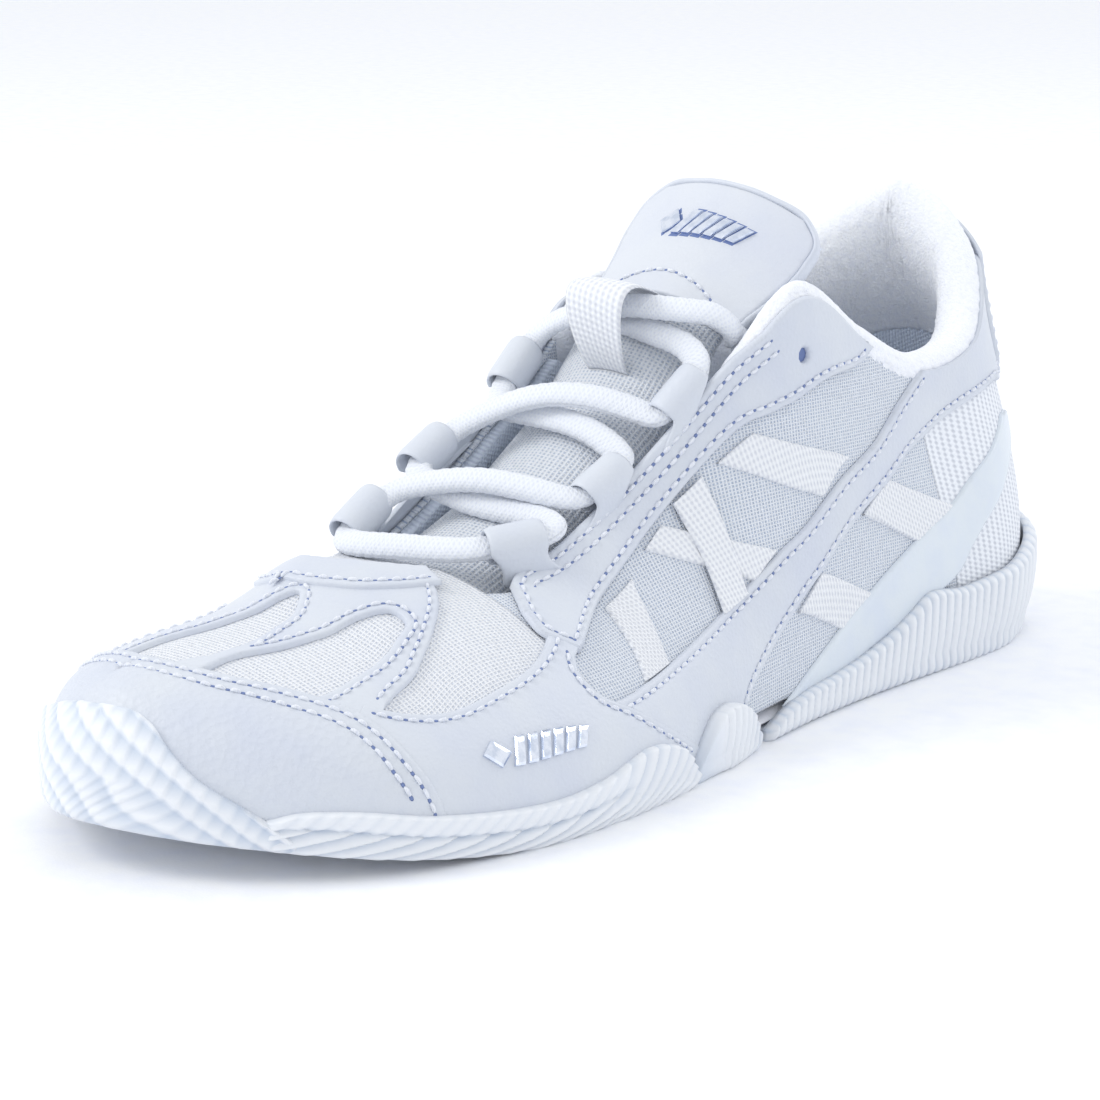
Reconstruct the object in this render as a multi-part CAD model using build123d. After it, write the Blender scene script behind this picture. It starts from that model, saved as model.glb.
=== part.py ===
"""A lace-up cheer shoe for the left foot, as separate upper panels, linings and sole parts.

Frame: millimetres, +Z up, toe towards -Y, heel towards +Y, outer (lateral) side towards +X.
The upper is one smooth shell.  A point on it is named by two numbers:
  s  goes round the sole edge, 0 at the toe tip, +1 at the heel by the lateral side and
     -1 at the heel by the medial side;
  t  goes up the side, 0 at the sole edge and 1 at the vamp ridge, eyestay edge or collar.
Every panel is a closed sheet between two heights above that shell.
"""
from build123d import *
from math import comb, pi, radians, tan
import os
import numpy as np

# ---------------------------------------------------------------- driving dimensions, mm
FOOT_Z = 5.0            # height of the sole edge of the upper above the tread
GROUND_T = -0.1         # value of t at which a sole wall reaches the ground
TOE_SPRING = 9.0        # lift of the toe tip above the floor
TOE_SPRING_START = -70.0
HEEL_BEVEL = 4.0        # lift of the rear edge of the heel
HEEL_BEVEL_START = 105.0
MESH = (-1.4, 0.0)      # heights of each layer above the shell
SKIN = (0.3, 1.3)
WEB = (0.3, 0.75)
STIFFENER = (-2.7, -1.55)
LINING = (-3.9, -2.85)
RUBBER = (1.6, 4.0)
SAMPLES = 40            # points along each side of a fitted sheet
EDGE_WEIGHT = 200       # how much closer a fitted sheet keeps to its edges than inside
VAMP_FRONT = -133.0
TOE_CAP_REAR = -98.0
VAMP_REAR = -58.0
FRONT_OF_QUARTER = -57.2   # where the side walls begin, just behind the vamp
WALL_END = 0.8          # s at which the side walls meet the heel
HEEL_START = 0.803
# bottom and top of each layer of the sole, above the tread
PAD_HEIGHT = 0.75
TREAD_PLATE = (0.8, 1.7)
MIDSOLE = (2.1, 3.5)
SHANK = (3.75, 4.65)
BOARD = (4.8, 6.2)
SOCKLINER = (6.4, 10.0)
# the padded collar
COLLAR_START = 0.675
TAPER_LENGTH = 0.13     # stretch of s over which the padding grows to its full depth
FRONT_SHARE = 0.4       # share of that depth at its front ends
COLLAR_FOAM = (-8.5, -1.7)
COLLAR_RIM = (-9.6, 0.6)
TERRY = 0.8
# layers of the tongue below its face
TONGUE_FACE = (-1.2, 0.0)
TONGUE_FOAM = (-5.2, -1.35)
TONGUE_BACK = (-6.2, -5.35)

# Stations: sole edge x, y; top line x, y, z; side bulge, rise; shoulder reach, drop
LATERAL = [
    (-11.6, -134.2, -12, -121, 31.5, 2, 11, 6, 0),
    (6.4, -131.5, -11.8, -118, 32.9, 2, 12, 14, 0),
    (24.7, -118.6, -11.6, -112.5, 34.2, 3, 13, 22, 0),
    (39, -101, -12.2, -104, 35.4, 4, 13, 30, 0),
    (46.5, -80, -11, -88, 37.6, 4, 14, 34, 0),
    (49, -58, -12, -70, 43.5, 4, 15, 34, 1),
    (48, -36, 4, -49, 41.5, 4, 14, 26, 4),
    (44, -14, 15, -32, 43.5, 3, 15, 18, 8),
    (40, 8, 19, -6, 56, 2, 18, 12, 14),
    (37.5, 31, 26, 17, 77, 1, 24, 6, 22),
    (36.5, 52, 30, 36, 90, 1, 28, 2, 28),
    (36.5, 72, 31, 58, 78, 2, 24, 0, 22),
    (36.5, 92, 31, 82, 68, 4, 20, -1, 18),
    (35, 110, 29, 104, 72, 6, 20, 1, 20),
    (27, 126.5, 20, 119, 87, 8, 24, 2, 26),
    (3, 135, 0, 126, 99, 10, 26, 3, 30),
]
MEDIAL = [
    (-11.6, -134.2, -12, -121, 31.5, 2, 11, 6, 0),
    (-24, -126.8, -11.8, -118, 32.9, 1.2, 11.8, 9.7, 0.3),
    (-35.5, -115.3, -11.6, -112.5, 34.2, 2.2, 12.6, 15.4, 0.8),
    (-42.3, -100, -12.2, -104, 35.4, 3.4, 12.5, 19.2, 1.8),
    (-43.4, -81, -11, -88, 37.6, 3.5, 15.2, 20, 3),
    (-41.6, -60.6, -14, -70, 43.5, 3.4, 17, 17, 5.5),
    (-38, -40, -22, -52, 41.5, 4, 18, 13, 5),
    (-32, -18, -24, -36, 46, 3, 20, 9, 10),
    (-28, 5, -24, -8, 60, 1, 24, 6, 16),
    (-28, 28, -26, 16, 74, 0, 28, 3, 24),
    (-29, 48, -28, 34, 86, 0, 30, 1, 28),
    (-31, 70, -29, 56, 80, 1, 26, 0, 24),
    (-31.5, 91, -29, 78, 78, 3, 22, -1, 20),
    (-30, 110, -26, 101, 82, 5, 22, 1, 22),
    (-22, 126, -16, 117, 93, 8, 24, 2, 26),
    (3, 135, 0, 126, 99, 10, 26, 3, 30),
]


# ---------------------------------------------------------------- the shell of the upper
def tread(y):
    """Height of the tread above the floor: toe spring and heel bevel."""
    toe = np.clip((TOE_SPRING_START - y) / 65.0, 0, None) ** 1.5 * TOE_SPRING
    heel = np.clip((y - HEEL_BEVEL_START) / 30.0, 0, None) ** 1.5 * HEEL_BEVEL
    return toe + heel


def station_table():
    rows = np.array(MEDIAL[::-1] + LATERAL[1:], float)
    step = np.hypot(*np.diff(rows[:, :2], axis=0).T)
    run = np.concatenate([[0], np.cumsum(step)])
    toe = len(MEDIAL) - 1
    medial_s = run / run[toe] - 1
    lateral_s = (run - run[toe]) / (run[-1] - run[toe])
    knots = np.where(run <= run[toe], medial_s, lateral_s)
    around = np.concatenate([[knots[-2] - 2], knots, [knots[1] + 2]])
    ring = np.concatenate([rows[-2:-1], rows, rows[1:2]])
    return knots, rows, np.gradient(ring, around, axis=0)[1:-1]


KNOTS, ROWS, SLOPES = station_table()


def station(s):
    """Cubic Hermite values and slopes of the station table at s."""
    s = np.clip(s, -1, 1)
    k = np.clip(np.searchsorted(KNOTS, s, side="right") - 1, 0, len(KNOTS) - 2)
    width = (KNOTS[k + 1] - KNOTS[k])[..., None]
    u = (s - KNOTS[k])[..., None] / width
    a, b = ROWS[k], ROWS[k + 1]
    ma, mb = SLOPES[k] * width, SLOPES[k + 1] * width
    value = (a * (1 + 2 * u) * (1 - u) ** 2 + ma * u * (1 - u) ** 2
             + b * u * u * (3 - 2 * u) + mb * u * u * (u - 1))
    slope = ((b - a) * 6 * u * (1 - u) + ma * (1 - 4 * u + 3 * u * u)
             + mb * (3 * u * u - 2 * u)) / width
    return value, slope


def wrap(s):
    """Carry s past the heel centre on to the other side."""
    return np.where(s > 1, s - 2, np.where(s < -1, s + 2, s))


def shell(s, t):
    """Point on the shell; t below 0 drops straight to the ground."""
    s, t = np.broadcast_arrays(wrap(np.asarray(s, float)), np.asarray(t, float))
    row, slope = station(s)
    under = np.minimum(t, 0)[..., None] / GROUND_T * FOOT_Z
    t = np.maximum(t, 0)[..., None]
    foot = np.concatenate([row[..., :2], tread(row[..., 1:2]) + FOOT_Z], -1)
    top = row[..., 2:5]
    way = slope[..., :2] / np.linalg.norm(slope[..., :2], axis=-1, keepdims=True)
    out = np.stack([way[..., 1], -way[..., 0]], -1)
    reach = foot[..., :2] - top[..., :2]
    span = np.linalg.norm(reach, axis=-1, keepdims=True)
    mix = np.clip((span - 8) / 16, 0, 1)
    over = out * (1 - mix) + reach / np.maximum(span, 1e-6) * mix
    over = over / np.linalg.norm(over, axis=-1, keepdims=True)
    low = foot + np.concatenate([out * row[..., 5:6], row[..., 6:7]], -1)
    high = top + np.concatenate([over * row[..., 7:8], -row[..., 8:9]], -1)
    point = (foot * (1 - t) ** 3 + 3 * low * t * (1 - t) ** 2
             + 3 * high * t * t * (1 - t) + top * t ** 3)
    return point - np.concatenate([0 * under, 0 * under, under], -1)


def outward(s, t):
    """Unit normal of the shell, pointing out of the shoe."""
    e = 2e-3
    flat = np.clip(t, 0.01, 0.985)
    along = shell(s + e, flat) - shell(s - e, flat)
    up = shell(s, flat + e) - shell(s, flat - e)
    n = np.cross(along, up)
    return n / np.linalg.norm(n, axis=-1, keepdims=True)


def raised(s, t, h):
    s, t, h = np.broadcast_arrays(*[np.asarray(q, float) for q in (s, t, h)])
    return shell(s, t) + outward(s, t) * h[..., None]


# ---------------------------------------------------------------- sheets
def bernstein(degree, count):
    """Bernstein basis of one degree at evenly spaced parameters."""
    u = np.linspace(0, 1, count)
    return np.stack([comb(degree, k) * u ** k * (1 - u) ** (degree - k)
                     for k in range(degree + 1)], -1)


def smooth_face(grid, degrees):
    """Bezier face that fits a point grid by least squares, closest along its edges."""
    fits = []
    for degree, count in zip(degrees, grid.shape):
        weight = np.ones(count)
        weight[[0, -1]] = EDGE_WEIGHT
        fits.append(np.linalg.pinv(bernstein(degree, count) * weight[:, None]) * weight)
    poles = np.einsum("ia,jb,abk->ijk", fits[0], fits[1], grid)
    return Face.make_bezier_surface([[Vector(*map(float, p)) for p in row] for row in poles])


def slab(outer, inner, degrees):
    """Closed solid between two point grids of the same size."""
    top, under = smooth_face(outer, degrees), smooth_face(inner, degrees)
    sides = [Face.make_surface_from_curves(a, b) for a, b in zip(top.edges(), under.edges())]
    return Solid(Shell([top, under] + sides))


def along_line(points, count):
    """Evenly spaced points on a polyline given by a few corners."""
    points = np.array(points, float)
    step = np.hypot(*(np.diff(points, axis=0) * [300, 80]).T)
    run = np.concatenate([[0], np.cumsum(step)])
    at = np.linspace(0, run[-1], count)
    return np.stack([np.interp(at, run, points[:, 0]), np.interp(at, run, points[:, 1])], -1)


def patch(low, high, layer, side=1, degrees=(9, 5)):
    """Panel between a lower and an upper (s, t) line; side -1 is the medial twin."""
    a, b = along_line(low, SAMPLES), along_line(high, SAMPLES)
    w = np.linspace(0, 1, SAMPLES)[None, :, None]
    st = a[:, None] * (1 - w) + b[:, None] * w
    s = st[..., 0] * side
    return slab(raised(s, st[..., 1], layer[1]), raised(s, st[..., 1], layer[0]), degrees)


# ---------------------------------------------------------------- sheets across the vamp
def find_s(y, t, side):
    """The s at which the line t of one side reaches a given y."""
    low, high = np.zeros(np.shape(t)), np.full(np.shape(t), 0.6)
    for _ in range(30):
        mid = (low + high) / 2
        past = shell(side * mid, t)[..., 1] > y
        high, low = np.where(past, mid, high), np.where(past, low, mid)
    return (low + high) / 2 * side


def crest_t(y):
    """Highest t of the cross-section at y: below 1 only in front of the ridge."""
    low, high = 0.0, 1.0
    for _ in range(30):
        mid = (low + high) / 2
        low, high = (mid, high) if shell(0.0, mid)[1] < y else (low, mid)
    return high


def cross_section(y, height, edge_t):
    """Evenly spaced points of the shell at one y, from the medial to the lateral edge."""
    t = edge_t + (crest_t(y) - edge_t) * np.sin(np.linspace(0, np.pi / 2, 60))
    sides = []
    for side in (-1, 1):
        s = find_s(y, t, side)
        sides.append((shell(s, t), raised(s, t, height)))
    bare = np.concatenate([sides[0][0], sides[1][0][::-1]])
    lifted = np.concatenate([sides[0][1], sides[1][1][::-1]])
    run = np.concatenate([[0], np.cumsum(np.linalg.norm(np.diff(bare, axis=0), axis=1))])
    at = np.linspace(0, run[-1], SAMPLES)
    return np.stack([np.interp(at, run, lifted[:, k]) for k in range(3)], -1)


def vamp_sheet(front, rear, layer, edge_t=0.02, degrees=(8, 12)):
    """Panel across the vamp between two values of y."""
    grids = []
    for height in (layer[1], layer[0]):
        rows = [cross_section(y, height, edge_t) for y in np.linspace(front, rear, SAMPLES)]
        grids.append(np.stack(rows))
    return slab(grids[0], grids[1], degrees)


def floor_sheet(start, end, layer, inset, reach=1.0):
    """Plate in the sole from s = start to end; inset is in from the sole edge."""
    k = np.linspace(start, end, SAMPLES)[:, None]
    w = np.linspace(-reach, reach, SAMPLES)[None, :]
    medial, lateral = raised(-k, 0.0, -inset), raised(k, 0.0, -inset)
    plan = medial * (1 - w[..., None]) / 2 + lateral * (1 + w[..., None]) / 2
    grids = []
    for z in layer[::-1]:
        grid = plan.copy()
        grid[..., 2] = tread(grid[..., 1]) + z
        grids.append(grid)
    return slab(grids[0], grids[1], (12, 3))


# ---------------------------------------------------------------- tongue
# centre line x, y, z and how fast the tongue falls away to its sides
TONGUE = [(-8, -62, 35, 0.016), (-5, -44, 40, 0.018), (-3, -20, 51, 0.02), (-2, 4, 67, 0.019),
          (-1, 21, 84, 0.014), (-0.5, 26.5, 89.5, 0.012), (4, 48, 110.5, 0.011)]
TONGUE_SEAM = 0.745     # share of the length at which the upper leather patch starts
GAP = 0.003             # share of the length left free on each side of that seam


def tongue_point(u, q):
    """Point of the tongue's face at length share u and sideways distance q."""
    line = np.array(TONGUE, float)
    at = np.concatenate([[0], np.cumsum(np.linalg.norm(np.diff(line[:, :3], axis=0), axis=1))])
    at /= at[-1]
    x, y, z, fall = [np.interp(u, at, line[:, k]) for k in range(4)]
    lean = 0.12 * np.clip((u - TONGUE_SEAM) / (1 - TONGUE_SEAM), 0, 1)
    return np.stack([x + q, y + 0.004 * q * q, z - fall * q * q - lean * q], -1)


def tongue_slab(start, end, half_start, half_end, layer, middle=0.0, bulge=0.0, degrees=(6, 4)):
    u, w = np.meshgrid(np.linspace(start, end, SAMPLES), np.linspace(-1, 1, SAMPLES), indexing="ij")
    share = (u - start) / (end - start)
    q = middle + w * (half_start + (half_end - half_start) * share)
    e = 1e-2
    along = tongue_point(np.minimum(u + e, 1), q) - tongue_point(u - e, q)
    across = tongue_point(u, q + e) - tongue_point(u, q - e)
    n = np.cross(across, along)
    n /= np.linalg.norm(n, axis=-1, keepdims=True)
    arch = (bulge * np.sin(np.pi * share) ** 0.7)[..., None]
    face = tongue_point(u, q)
    return slab(face + n * (layer[1] + arch), face + n * (layer[0] + arch), degrees)


# outlines as (s, t) lines
SIDE_PANEL_LOW = [(0.232, 0.02), (0.45, 0.02)]
SIDE_PANEL_HIGH = [(0.236, 0.49), (0.26, 0.45), (0.3, 0.445), (0.345, 0.475), (0.372, 0.44),
                   (0.378, 0.36), (0.393, 0.31), (0.42, 0.2), (0.452, 0.06)]
EYESTAY_LOW = [(0.394, 0.54), (0.427, 0.635), (0.504, 0.795), (0.551, 0.843), (0.577, 0.85),
               (0.614, 0.83), (0.669, 0.753), (0.722, 0.823), (0.75, 0.92)]
EYESTAY_HIGH = [(0.4, 0.72), (0.435, 0.86), (0.517, 0.95), (0.6, 0.955), (0.68, 0.96),
                (0.757, 0.95)]
STRAP_LOW = [(0.46, 0.02), (0.524, 0.06), (0.566, 0.2), (0.616, 0.28), (0.664, 0.335),
             (0.712, 0.43), (0.765, 0.58), (0.809, 0.74), (0.854, 0.79), (0.88, 0.93)]
STRAP_HIGH = [(0.4, 0.33), (0.484, 0.42), (0.553, 0.448), (0.634, 0.45), (0.7, 0.525),
              (0.759, 0.703), (0.804, 0.93)]
FILM_LOW = [(0.6, 0.02), (0.69, 0.06), (0.747, 0.15), (0.78, 0.19), (0.803, 0.24),
            (0.823, 0.32), (0.863, 0.41), (0.9, 0.5)]
FILM_HIGH = [(0.59, 0.04), (0.662, 0.138), (0.706, 0.205), (0.77, 0.36), (0.83, 0.47),
             (0.888, 0.54), (0.92, 0.58)]
HEEL_WALL_TOP = [(0.545, -0.03), (0.606, 0.013), (0.652, 0.03), (0.693, 0.05), (0.726, 0.09),
                 (0.747, 0.14), (0.767, 0.185), (0.84, 0.2), (1.0, 0.23)]
FOREFOOT_WALL_TOP = [(0.14, 0.12), (0.166, 0.14), (0.224, 0.1), (0.278, 0.065), (0.327, 0.065),
                     (0.365, 0.1), (0.392, 0.14), (0.414, 0.12), (0.445, 0.0)]
LUG_TOP = [(0.452, 0.0), (0.465, 0.06), (0.482, 0.145), (0.5, 0.147), (0.514, 0.11), (0.533, 0.0)]
BUMPER_TOP = [(-0.16, 0.02), (-0.13, 0.22), (-0.07, 0.4), (0.0, 0.5), (0.035, 0.52),
              (0.063, 0.46), (0.088, 0.25), (0.135, 0.03)]
QUARTER_TOP = [(0.3, 0.82), (0.37, 0.8), (0.42, 0.83), (0.435, 0.85), (0.517, 0.95), (0.56, 0.96),
               (1.0, 0.96)]
LINING_TOP = [(0.3, 0.79), (0.37, 0.78), (0.42, 0.81), (0.435, 0.83), (0.517, 0.92), (0.59, 0.92),
              (0.64, 0.69), (1.0, 0.69)]
BANDS = [   # two bottom and two top corners, then the layer
    ([(0.67, 0.52), (0.605, 0.78)], [(0.70, 0.57), (0.634, 0.775)], WEB),
    ([(0.582, 0.475), (0.535, 0.76)], [(0.605, 0.475), (0.555, 0.79)], WEB),
    ([(0.541, 0.475), (0.556, 0.79)], [(0.566, 0.475), (0.578, 0.79)], (0.9, 1.5)),
    ([(0.437, 0.41), (0.468, 0.66)], [(0.465, 0.44), (0.497, 0.7)], WEB),
    ([(0.722, 0.41), (0.75, 0.5)], [(0.755, 0.38), (0.785, 0.47)], WEB),
    ([(0.63, 0.25), (0.65, 0.2)], [(0.66, 0.3), (0.68, 0.25)], WEB),
]
# lace loops: centre, direction
LOOPS = {
    "lateral": [((13, -38.5, 46.2), (0.53, 0.84, 0.13)), ((16.5, -15, 55), (0.11, 0.89, 0.46)),
                ((20.5, 6, 70.5), (0.23, 0.7, 0.68))],
    "medial": [((-23, -44, 47.5), (0, 0.87, 0.5)), ((-23.5, -23, 57.5), (0, 0.9, 0.44)),
               ((-24, 6, 71.5), (-0.07, 0.8, 0.6))],
}
# one lace, from the lateral tail through the loops to the medial tail
LACE_ROUTE = [
    (15, 36, 52), (17, 34, 62), (19.5, 30.5, 71), (21.2, 26, 79), (20, 20, 86), (12, 14.6, 86.8),
    (0, 12.4, 87), (-11, 11.4, 84.2), (-20, 12.5, 80.5), (-24.5, 11.5, 76), (-23.5, 0.5, 67.2),
    (-19, -5, 64.8), (-8, -6.5, 65.2), (5, -7, 64.4), (14, -7, 60.5), (17.3, -9, 58),
    (15.7, -21, 52), (9, -25.5, 54), (-3, -29.5, 55.8), (-14, -33.5, 54.2), (-22, -37.5, 51.5),
    (-23, -49.5, 44.2), (-18, -52.5, 44), (-7, -51.5, 45), (4, -48.5, 45.2), (9.2, -44.5, 45.4),
    (18, -29.5, 47.5), (10.5, -27.5, 49.3), (-3, -29.6, 50), (-14, -30, 52.2), (-22.5, -29.5, 54.4),
    (-23.5, -17, 60.4), (-17, -12.5, 65), (-6, -9, 70), (5, -5, 70.6), (14, -1, 68),
    (19, 1.2, 66), (22, 10.8, 75.2), (17, 13.6, 79.6), (7, 13.6, 81.6), (-3, 15.4, 82.8),
    (-13, 19.5, 85.9), (-20.8, 24, 84), (-22, 28.5, 76), (-20, 32, 67), (-18, 35, 57),
]
LACE_D = 4.4
WEBBING_RISE = 16.0     # how far the tongue's webbing loop stands off it
# flat tread pads: centre x, y and half sizes
TREAD_PADS = {
    "forefoot_tread_pads": [(24, -52, 17, 15), (-22, -57, 14, 11), (-18, -33, 11, 11),
                            (20, -24, 14, 8)],
    "heel_tread_pads": [(3, 30, 22, 11), (3, 58, 24, 12), (2, 86, 25, 12)],
}
LOOP_BORE = 6.8
LOOP_D = 8.0
LOOP_LENGTH = 9.0


def quarter_sheet(side, top_line, layer, edge_t=0.02):
    """Side wall from the rear edge of the vamp back to the heel."""
    line = np.array(top_line, float)
    u, v = np.meshgrid(np.linspace(0, 1, SAMPLES), np.linspace(0, 1, SAMPLES), indexing="ij")
    s = 0.35 + (WALL_END - 0.35) * u
    for _ in range(4):
        t = edge_t + (np.interp(s, line[:, 0], line[:, 1]) - edge_t) * v
        start = find_s(FRONT_OF_QUARTER, t, side) * side
        s = start + (WALL_END - start) * u
    return slab(raised(s * side, t, layer[1]), raised(s * side, t, layer[0]), (12, 7))


def thickening(s, start, front_share):
    """Share of a layer's full depth at s: front_share at its start, then growing to 1."""
    share = np.clip((s - start) / TAPER_LENGTH, 0, 1)
    return front_share + (1 - front_share) * share * share * (3 - 2 * share)


def heel_ring(low, high, layer, degrees=(9, 4), front_share=1.0):
    """Panel round the heel: a lateral and a medial half that meet at the heel centre."""
    a, b = along_line(low, SAMPLES), along_line(high, SAMPLES)
    w = np.linspace(0, 1, SAMPLES)[None, :, None]
    st = a[:, None] * (1 - w) + b[:, None] * w
    inner = layer[0] * thickening(st[..., 0], low[0][0], front_share)
    halves = []
    for side in (1, -1):
        s = st[..., 0] * side
        halves.append(slab(raised(s, st[..., 1], layer[1]), raised(s, st[..., 1], inner), degrees))
    return halves


def arc_path(points):
    """Straight runs joined by tangent arcs, each as large as its two runs allow."""
    corners = [Vector(*p) for p in points]
    radii = []
    for a, b, c in zip(corners, corners[1:], corners[2:]):
        turn = radians((b - a).get_angle(c - b))
        radii.append(0.45 * min((b - a).length, (c - b).length) / tan(turn / 2))
    return FilletPolyline(*corners, radius=radii), radii


def tube(start, direction, length, outer, inner=0.0):
    """Round bar or tube centred on a point."""
    axis = Vector(*direction).normalized()
    plane = Plane(origin=Vector(*start) - axis * (length / 2), z_dir=axis)
    section = Circle(outer / 2) - Circle(inner / 2) if inner else Circle(outer / 2)
    return extrude(plane * section, length)


# ---------------------------------------------------------------- the pieces
def sole():
    t_low = GROUND_T + 0.02
    yield "forefoot_outsole", [
        floor_sheet(0.03, 0.445, TREAD_PLATE, -1.2),
        patch([(0.14, t_low), (0.445, t_low)], FOREFOOT_WALL_TOP, RUBBER, 1, (12, 3)),
        patch([(0.165, t_low), (0.445, t_low)],
              [(0.165, 0.12)] + FOREFOOT_WALL_TOP[1:], RUBBER, -1, (12, 3))]
    yield "toe_bumper", [patch([(-0.16, t_low), (0.135, t_low)], BUMPER_TOP, RUBBER, 1, (12, 5))]
    yield "midfoot_lugs", [patch([(0.452, t_low), (0.533, t_low)], LUG_TOP, RUBBER, side, (9, 3))
                           for side in (1, -1)]
    yield "heel_outsole", [floor_sheet(0.545, 0.985, TREAD_PLATE, -1.2),
                           *heel_ring([(0.545, t_low), (1, t_low)], HEEL_WALL_TOP, RUBBER, (12, 3))]
    for name, pads in TREAD_PADS.items():
        yield name, [extrude(Pos(x, y) * Ellipse(rx, ry), PAD_HEIGHT) for x, y, rx, ry in pads]
    yield "midsole", [floor_sheet(0.03, 0.98, MIDSOLE, 1.0)]
    yield "arch_shank", [floor_sheet(0.46, 0.72, SHANK, 8, 0.5)]
    yield "strobel_board", [floor_sheet(0.04, 0.975, BOARD, 4.6)]
    yield "sockliner", [floor_sheet(0.045, 0.97, SOCKLINER, 5.4)]


def front():
    yield "vamp_mesh", [vamp_sheet(VAMP_FRONT, VAMP_REAR, MESH)]
    yield "vamp_lining", [vamp_sheet(VAMP_FRONT + 5, VAMP_REAR, LINING, 0.04)]
    yield "toe_box_stiffener", [vamp_sheet(VAMP_FRONT + 4, TOE_CAP_REAR - 4, STIFFENER, 0.03)]
    yield "toe_cap", [vamp_sheet(VAMP_FRONT, TOE_CAP_REAR, SKIN, 0.03)]
    yield "vamp_overlay", [vamp_sheet(TOE_CAP_REAR + 0.7, -73, SKIN, 0.53)]
    yield "throat_band", [vamp_sheet(-72.5, -59, SKIN, 0.82)]


def sides():
    for name, side in (("lateral", 1), ("medial", -1)):
        yield "quarter_mesh_" + name, [quarter_sheet(side, QUARTER_TOP, MESH)]
        yield "quarter_lining_" + name, [quarter_sheet(side, LINING_TOP, LINING, 0.04)]
        yield "side_panel_" + name, [patch(SIDE_PANEL_LOW, SIDE_PANEL_HIGH, SKIN, side)]
        yield "eyestay_" + name, [patch(EYESTAY_LOW, EYESTAY_HIGH, SKIN, side, (12, 4))]
        yield "diagonal_strap_" + name, [patch(STRAP_LOW, STRAP_HIGH, SKIN, side)]
        yield "heel_film_" + name, [patch(FILM_LOW, FILM_HIGH, WEB, side)]
        yield "webbing_bands_" + name, [patch(low, high, layer, side, (3, 3))
                                        for low, high, layer in BANDS]
        yield "lace_loops_" + name, [tube(at, way, LOOP_LENGTH, LOOP_D, LOOP_BORE)
                                     for at, way in LOOPS[name]]


def heel():
    yield "rear_quarter_mesh", heel_ring([(HEEL_START, 0.02), (1, 0.02)],
                                         [(HEEL_START, 0.96), (1, 0.96)], MESH, (9, 6))
    yield "heel_counter", heel_ring([(0.82, 0.03), (1, 0.03)], [(0.82, 0.55), (1, 0.62)],
                                    STIFFENER, (9, 5))
    yield "heel_lining", heel_ring([(HEEL_START, 0.04), (1, 0.04)],
                                   [(HEEL_START, 0.69), (1, 0.69)], LINING, (9, 6))
    yield "heel_tab", heel_ring([(0.925, 0.6), (1, 0.6)], [(0.925, 0.94), (1, 0.945)], SKIN)
    front = COLLAR_START
    yield "collar_padding", heel_ring([(front, 0.72), (1, 0.72)], [(front, 0.95), (1, 0.95)],
                                      COLLAR_FOAM, (9, 5), FRONT_SHARE)
    yield "collar_lining", collar_lining()
    yield "collar_rim", heel_ring([(front, 0.965), (1, 0.965)], [(front, 1.02), (1, 1.02)],
                                  COLLAR_RIM, (9, 3), FRONT_SHARE)


def collar_lining():
    """Terry sheet that covers the inner face of the collar's foam."""
    s = np.linspace(COLLAR_START, 1, SAMPLES)[:, None]
    t = np.linspace(0.7, 0.95, SAMPLES)[None, :]
    depth = COLLAR_FOAM[0] * thickening(s, COLLAR_START, FRONT_SHARE) - 0.25
    return [slab(raised(side * s, t, depth), raised(side * s, t, depth - TERRY), (9, 5))
            for side in (1, -1)]


def tongue():
    seam = TONGUE_SEAM
    yield "tongue_mesh", [tongue_slab(0, seam - GAP, 18, 17, TONGUE_FACE)]
    yield "tongue_foam", [tongue_slab(0, seam - GAP, 17, 16, TONGUE_FOAM)]
    yield "tongue_lining", [tongue_slab(0, seam - GAP, 18, 17, TONGUE_BACK)]
    yield "tongue_webbing_loop", [tongue_slab(0.6, seam - 0.01, 5, 5, (0.3, 1.2), 1, WEBBING_RISE)]
    yield "tongue_top_patch", [tongue_slab(seam + GAP, 0.985, 16.5, 23, TONGUE_FACE, 0.5)]
    yield "tongue_top_foam", [tongue_slab(seam + GAP, 0.98, 15.5, 22, TONGUE_FOAM, 0.5)]
    yield "tongue_top_lining", [tongue_slab(seam + GAP, 0.985, 16.5, 23, TONGUE_BACK, 0.5)]
    yield "tongue_binding", [tongue_slab(0.987, 1.0, 23, 23.2, (-6.4, 0.3), 0.5)]
    yield "tongue_badge", [tongue_slab(0.83, 0.93, 10, 10, (0.15, 1.3), 0.5)]


def trim():
    badge_low, badge_high = [(0.27, 0.15), (0.345, 0.12)], [(0.268, 0.27), (0.34, 0.25)]
    yield "side_badge", [patch(badge_low, badge_high, (1.4, 2.4), 1, (3, 3))]
    path, radii = arc_path(LACE_ROUTE)
    start = Plane(origin=path @ 0, z_dir=path % 0)
    lace = sweep(start * Circle(LACE_D / 2), path=path)
    print("lace", round(path.length, 1), "mm, radii", [round(r, 1) for r in radii],
          "volume share", round(lace.volume / (pi * LACE_D ** 2 / 4 * path.length), 3))
    yield "lace", [lace]
    ends = [(path @ 0, path % 0 * -1), (path @ 1, path % 1)]
    yield "lace_aglets", [tube(tuple(at + way * 6.1), tuple(way), 12, LACE_D) for at, way in ends]


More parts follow.
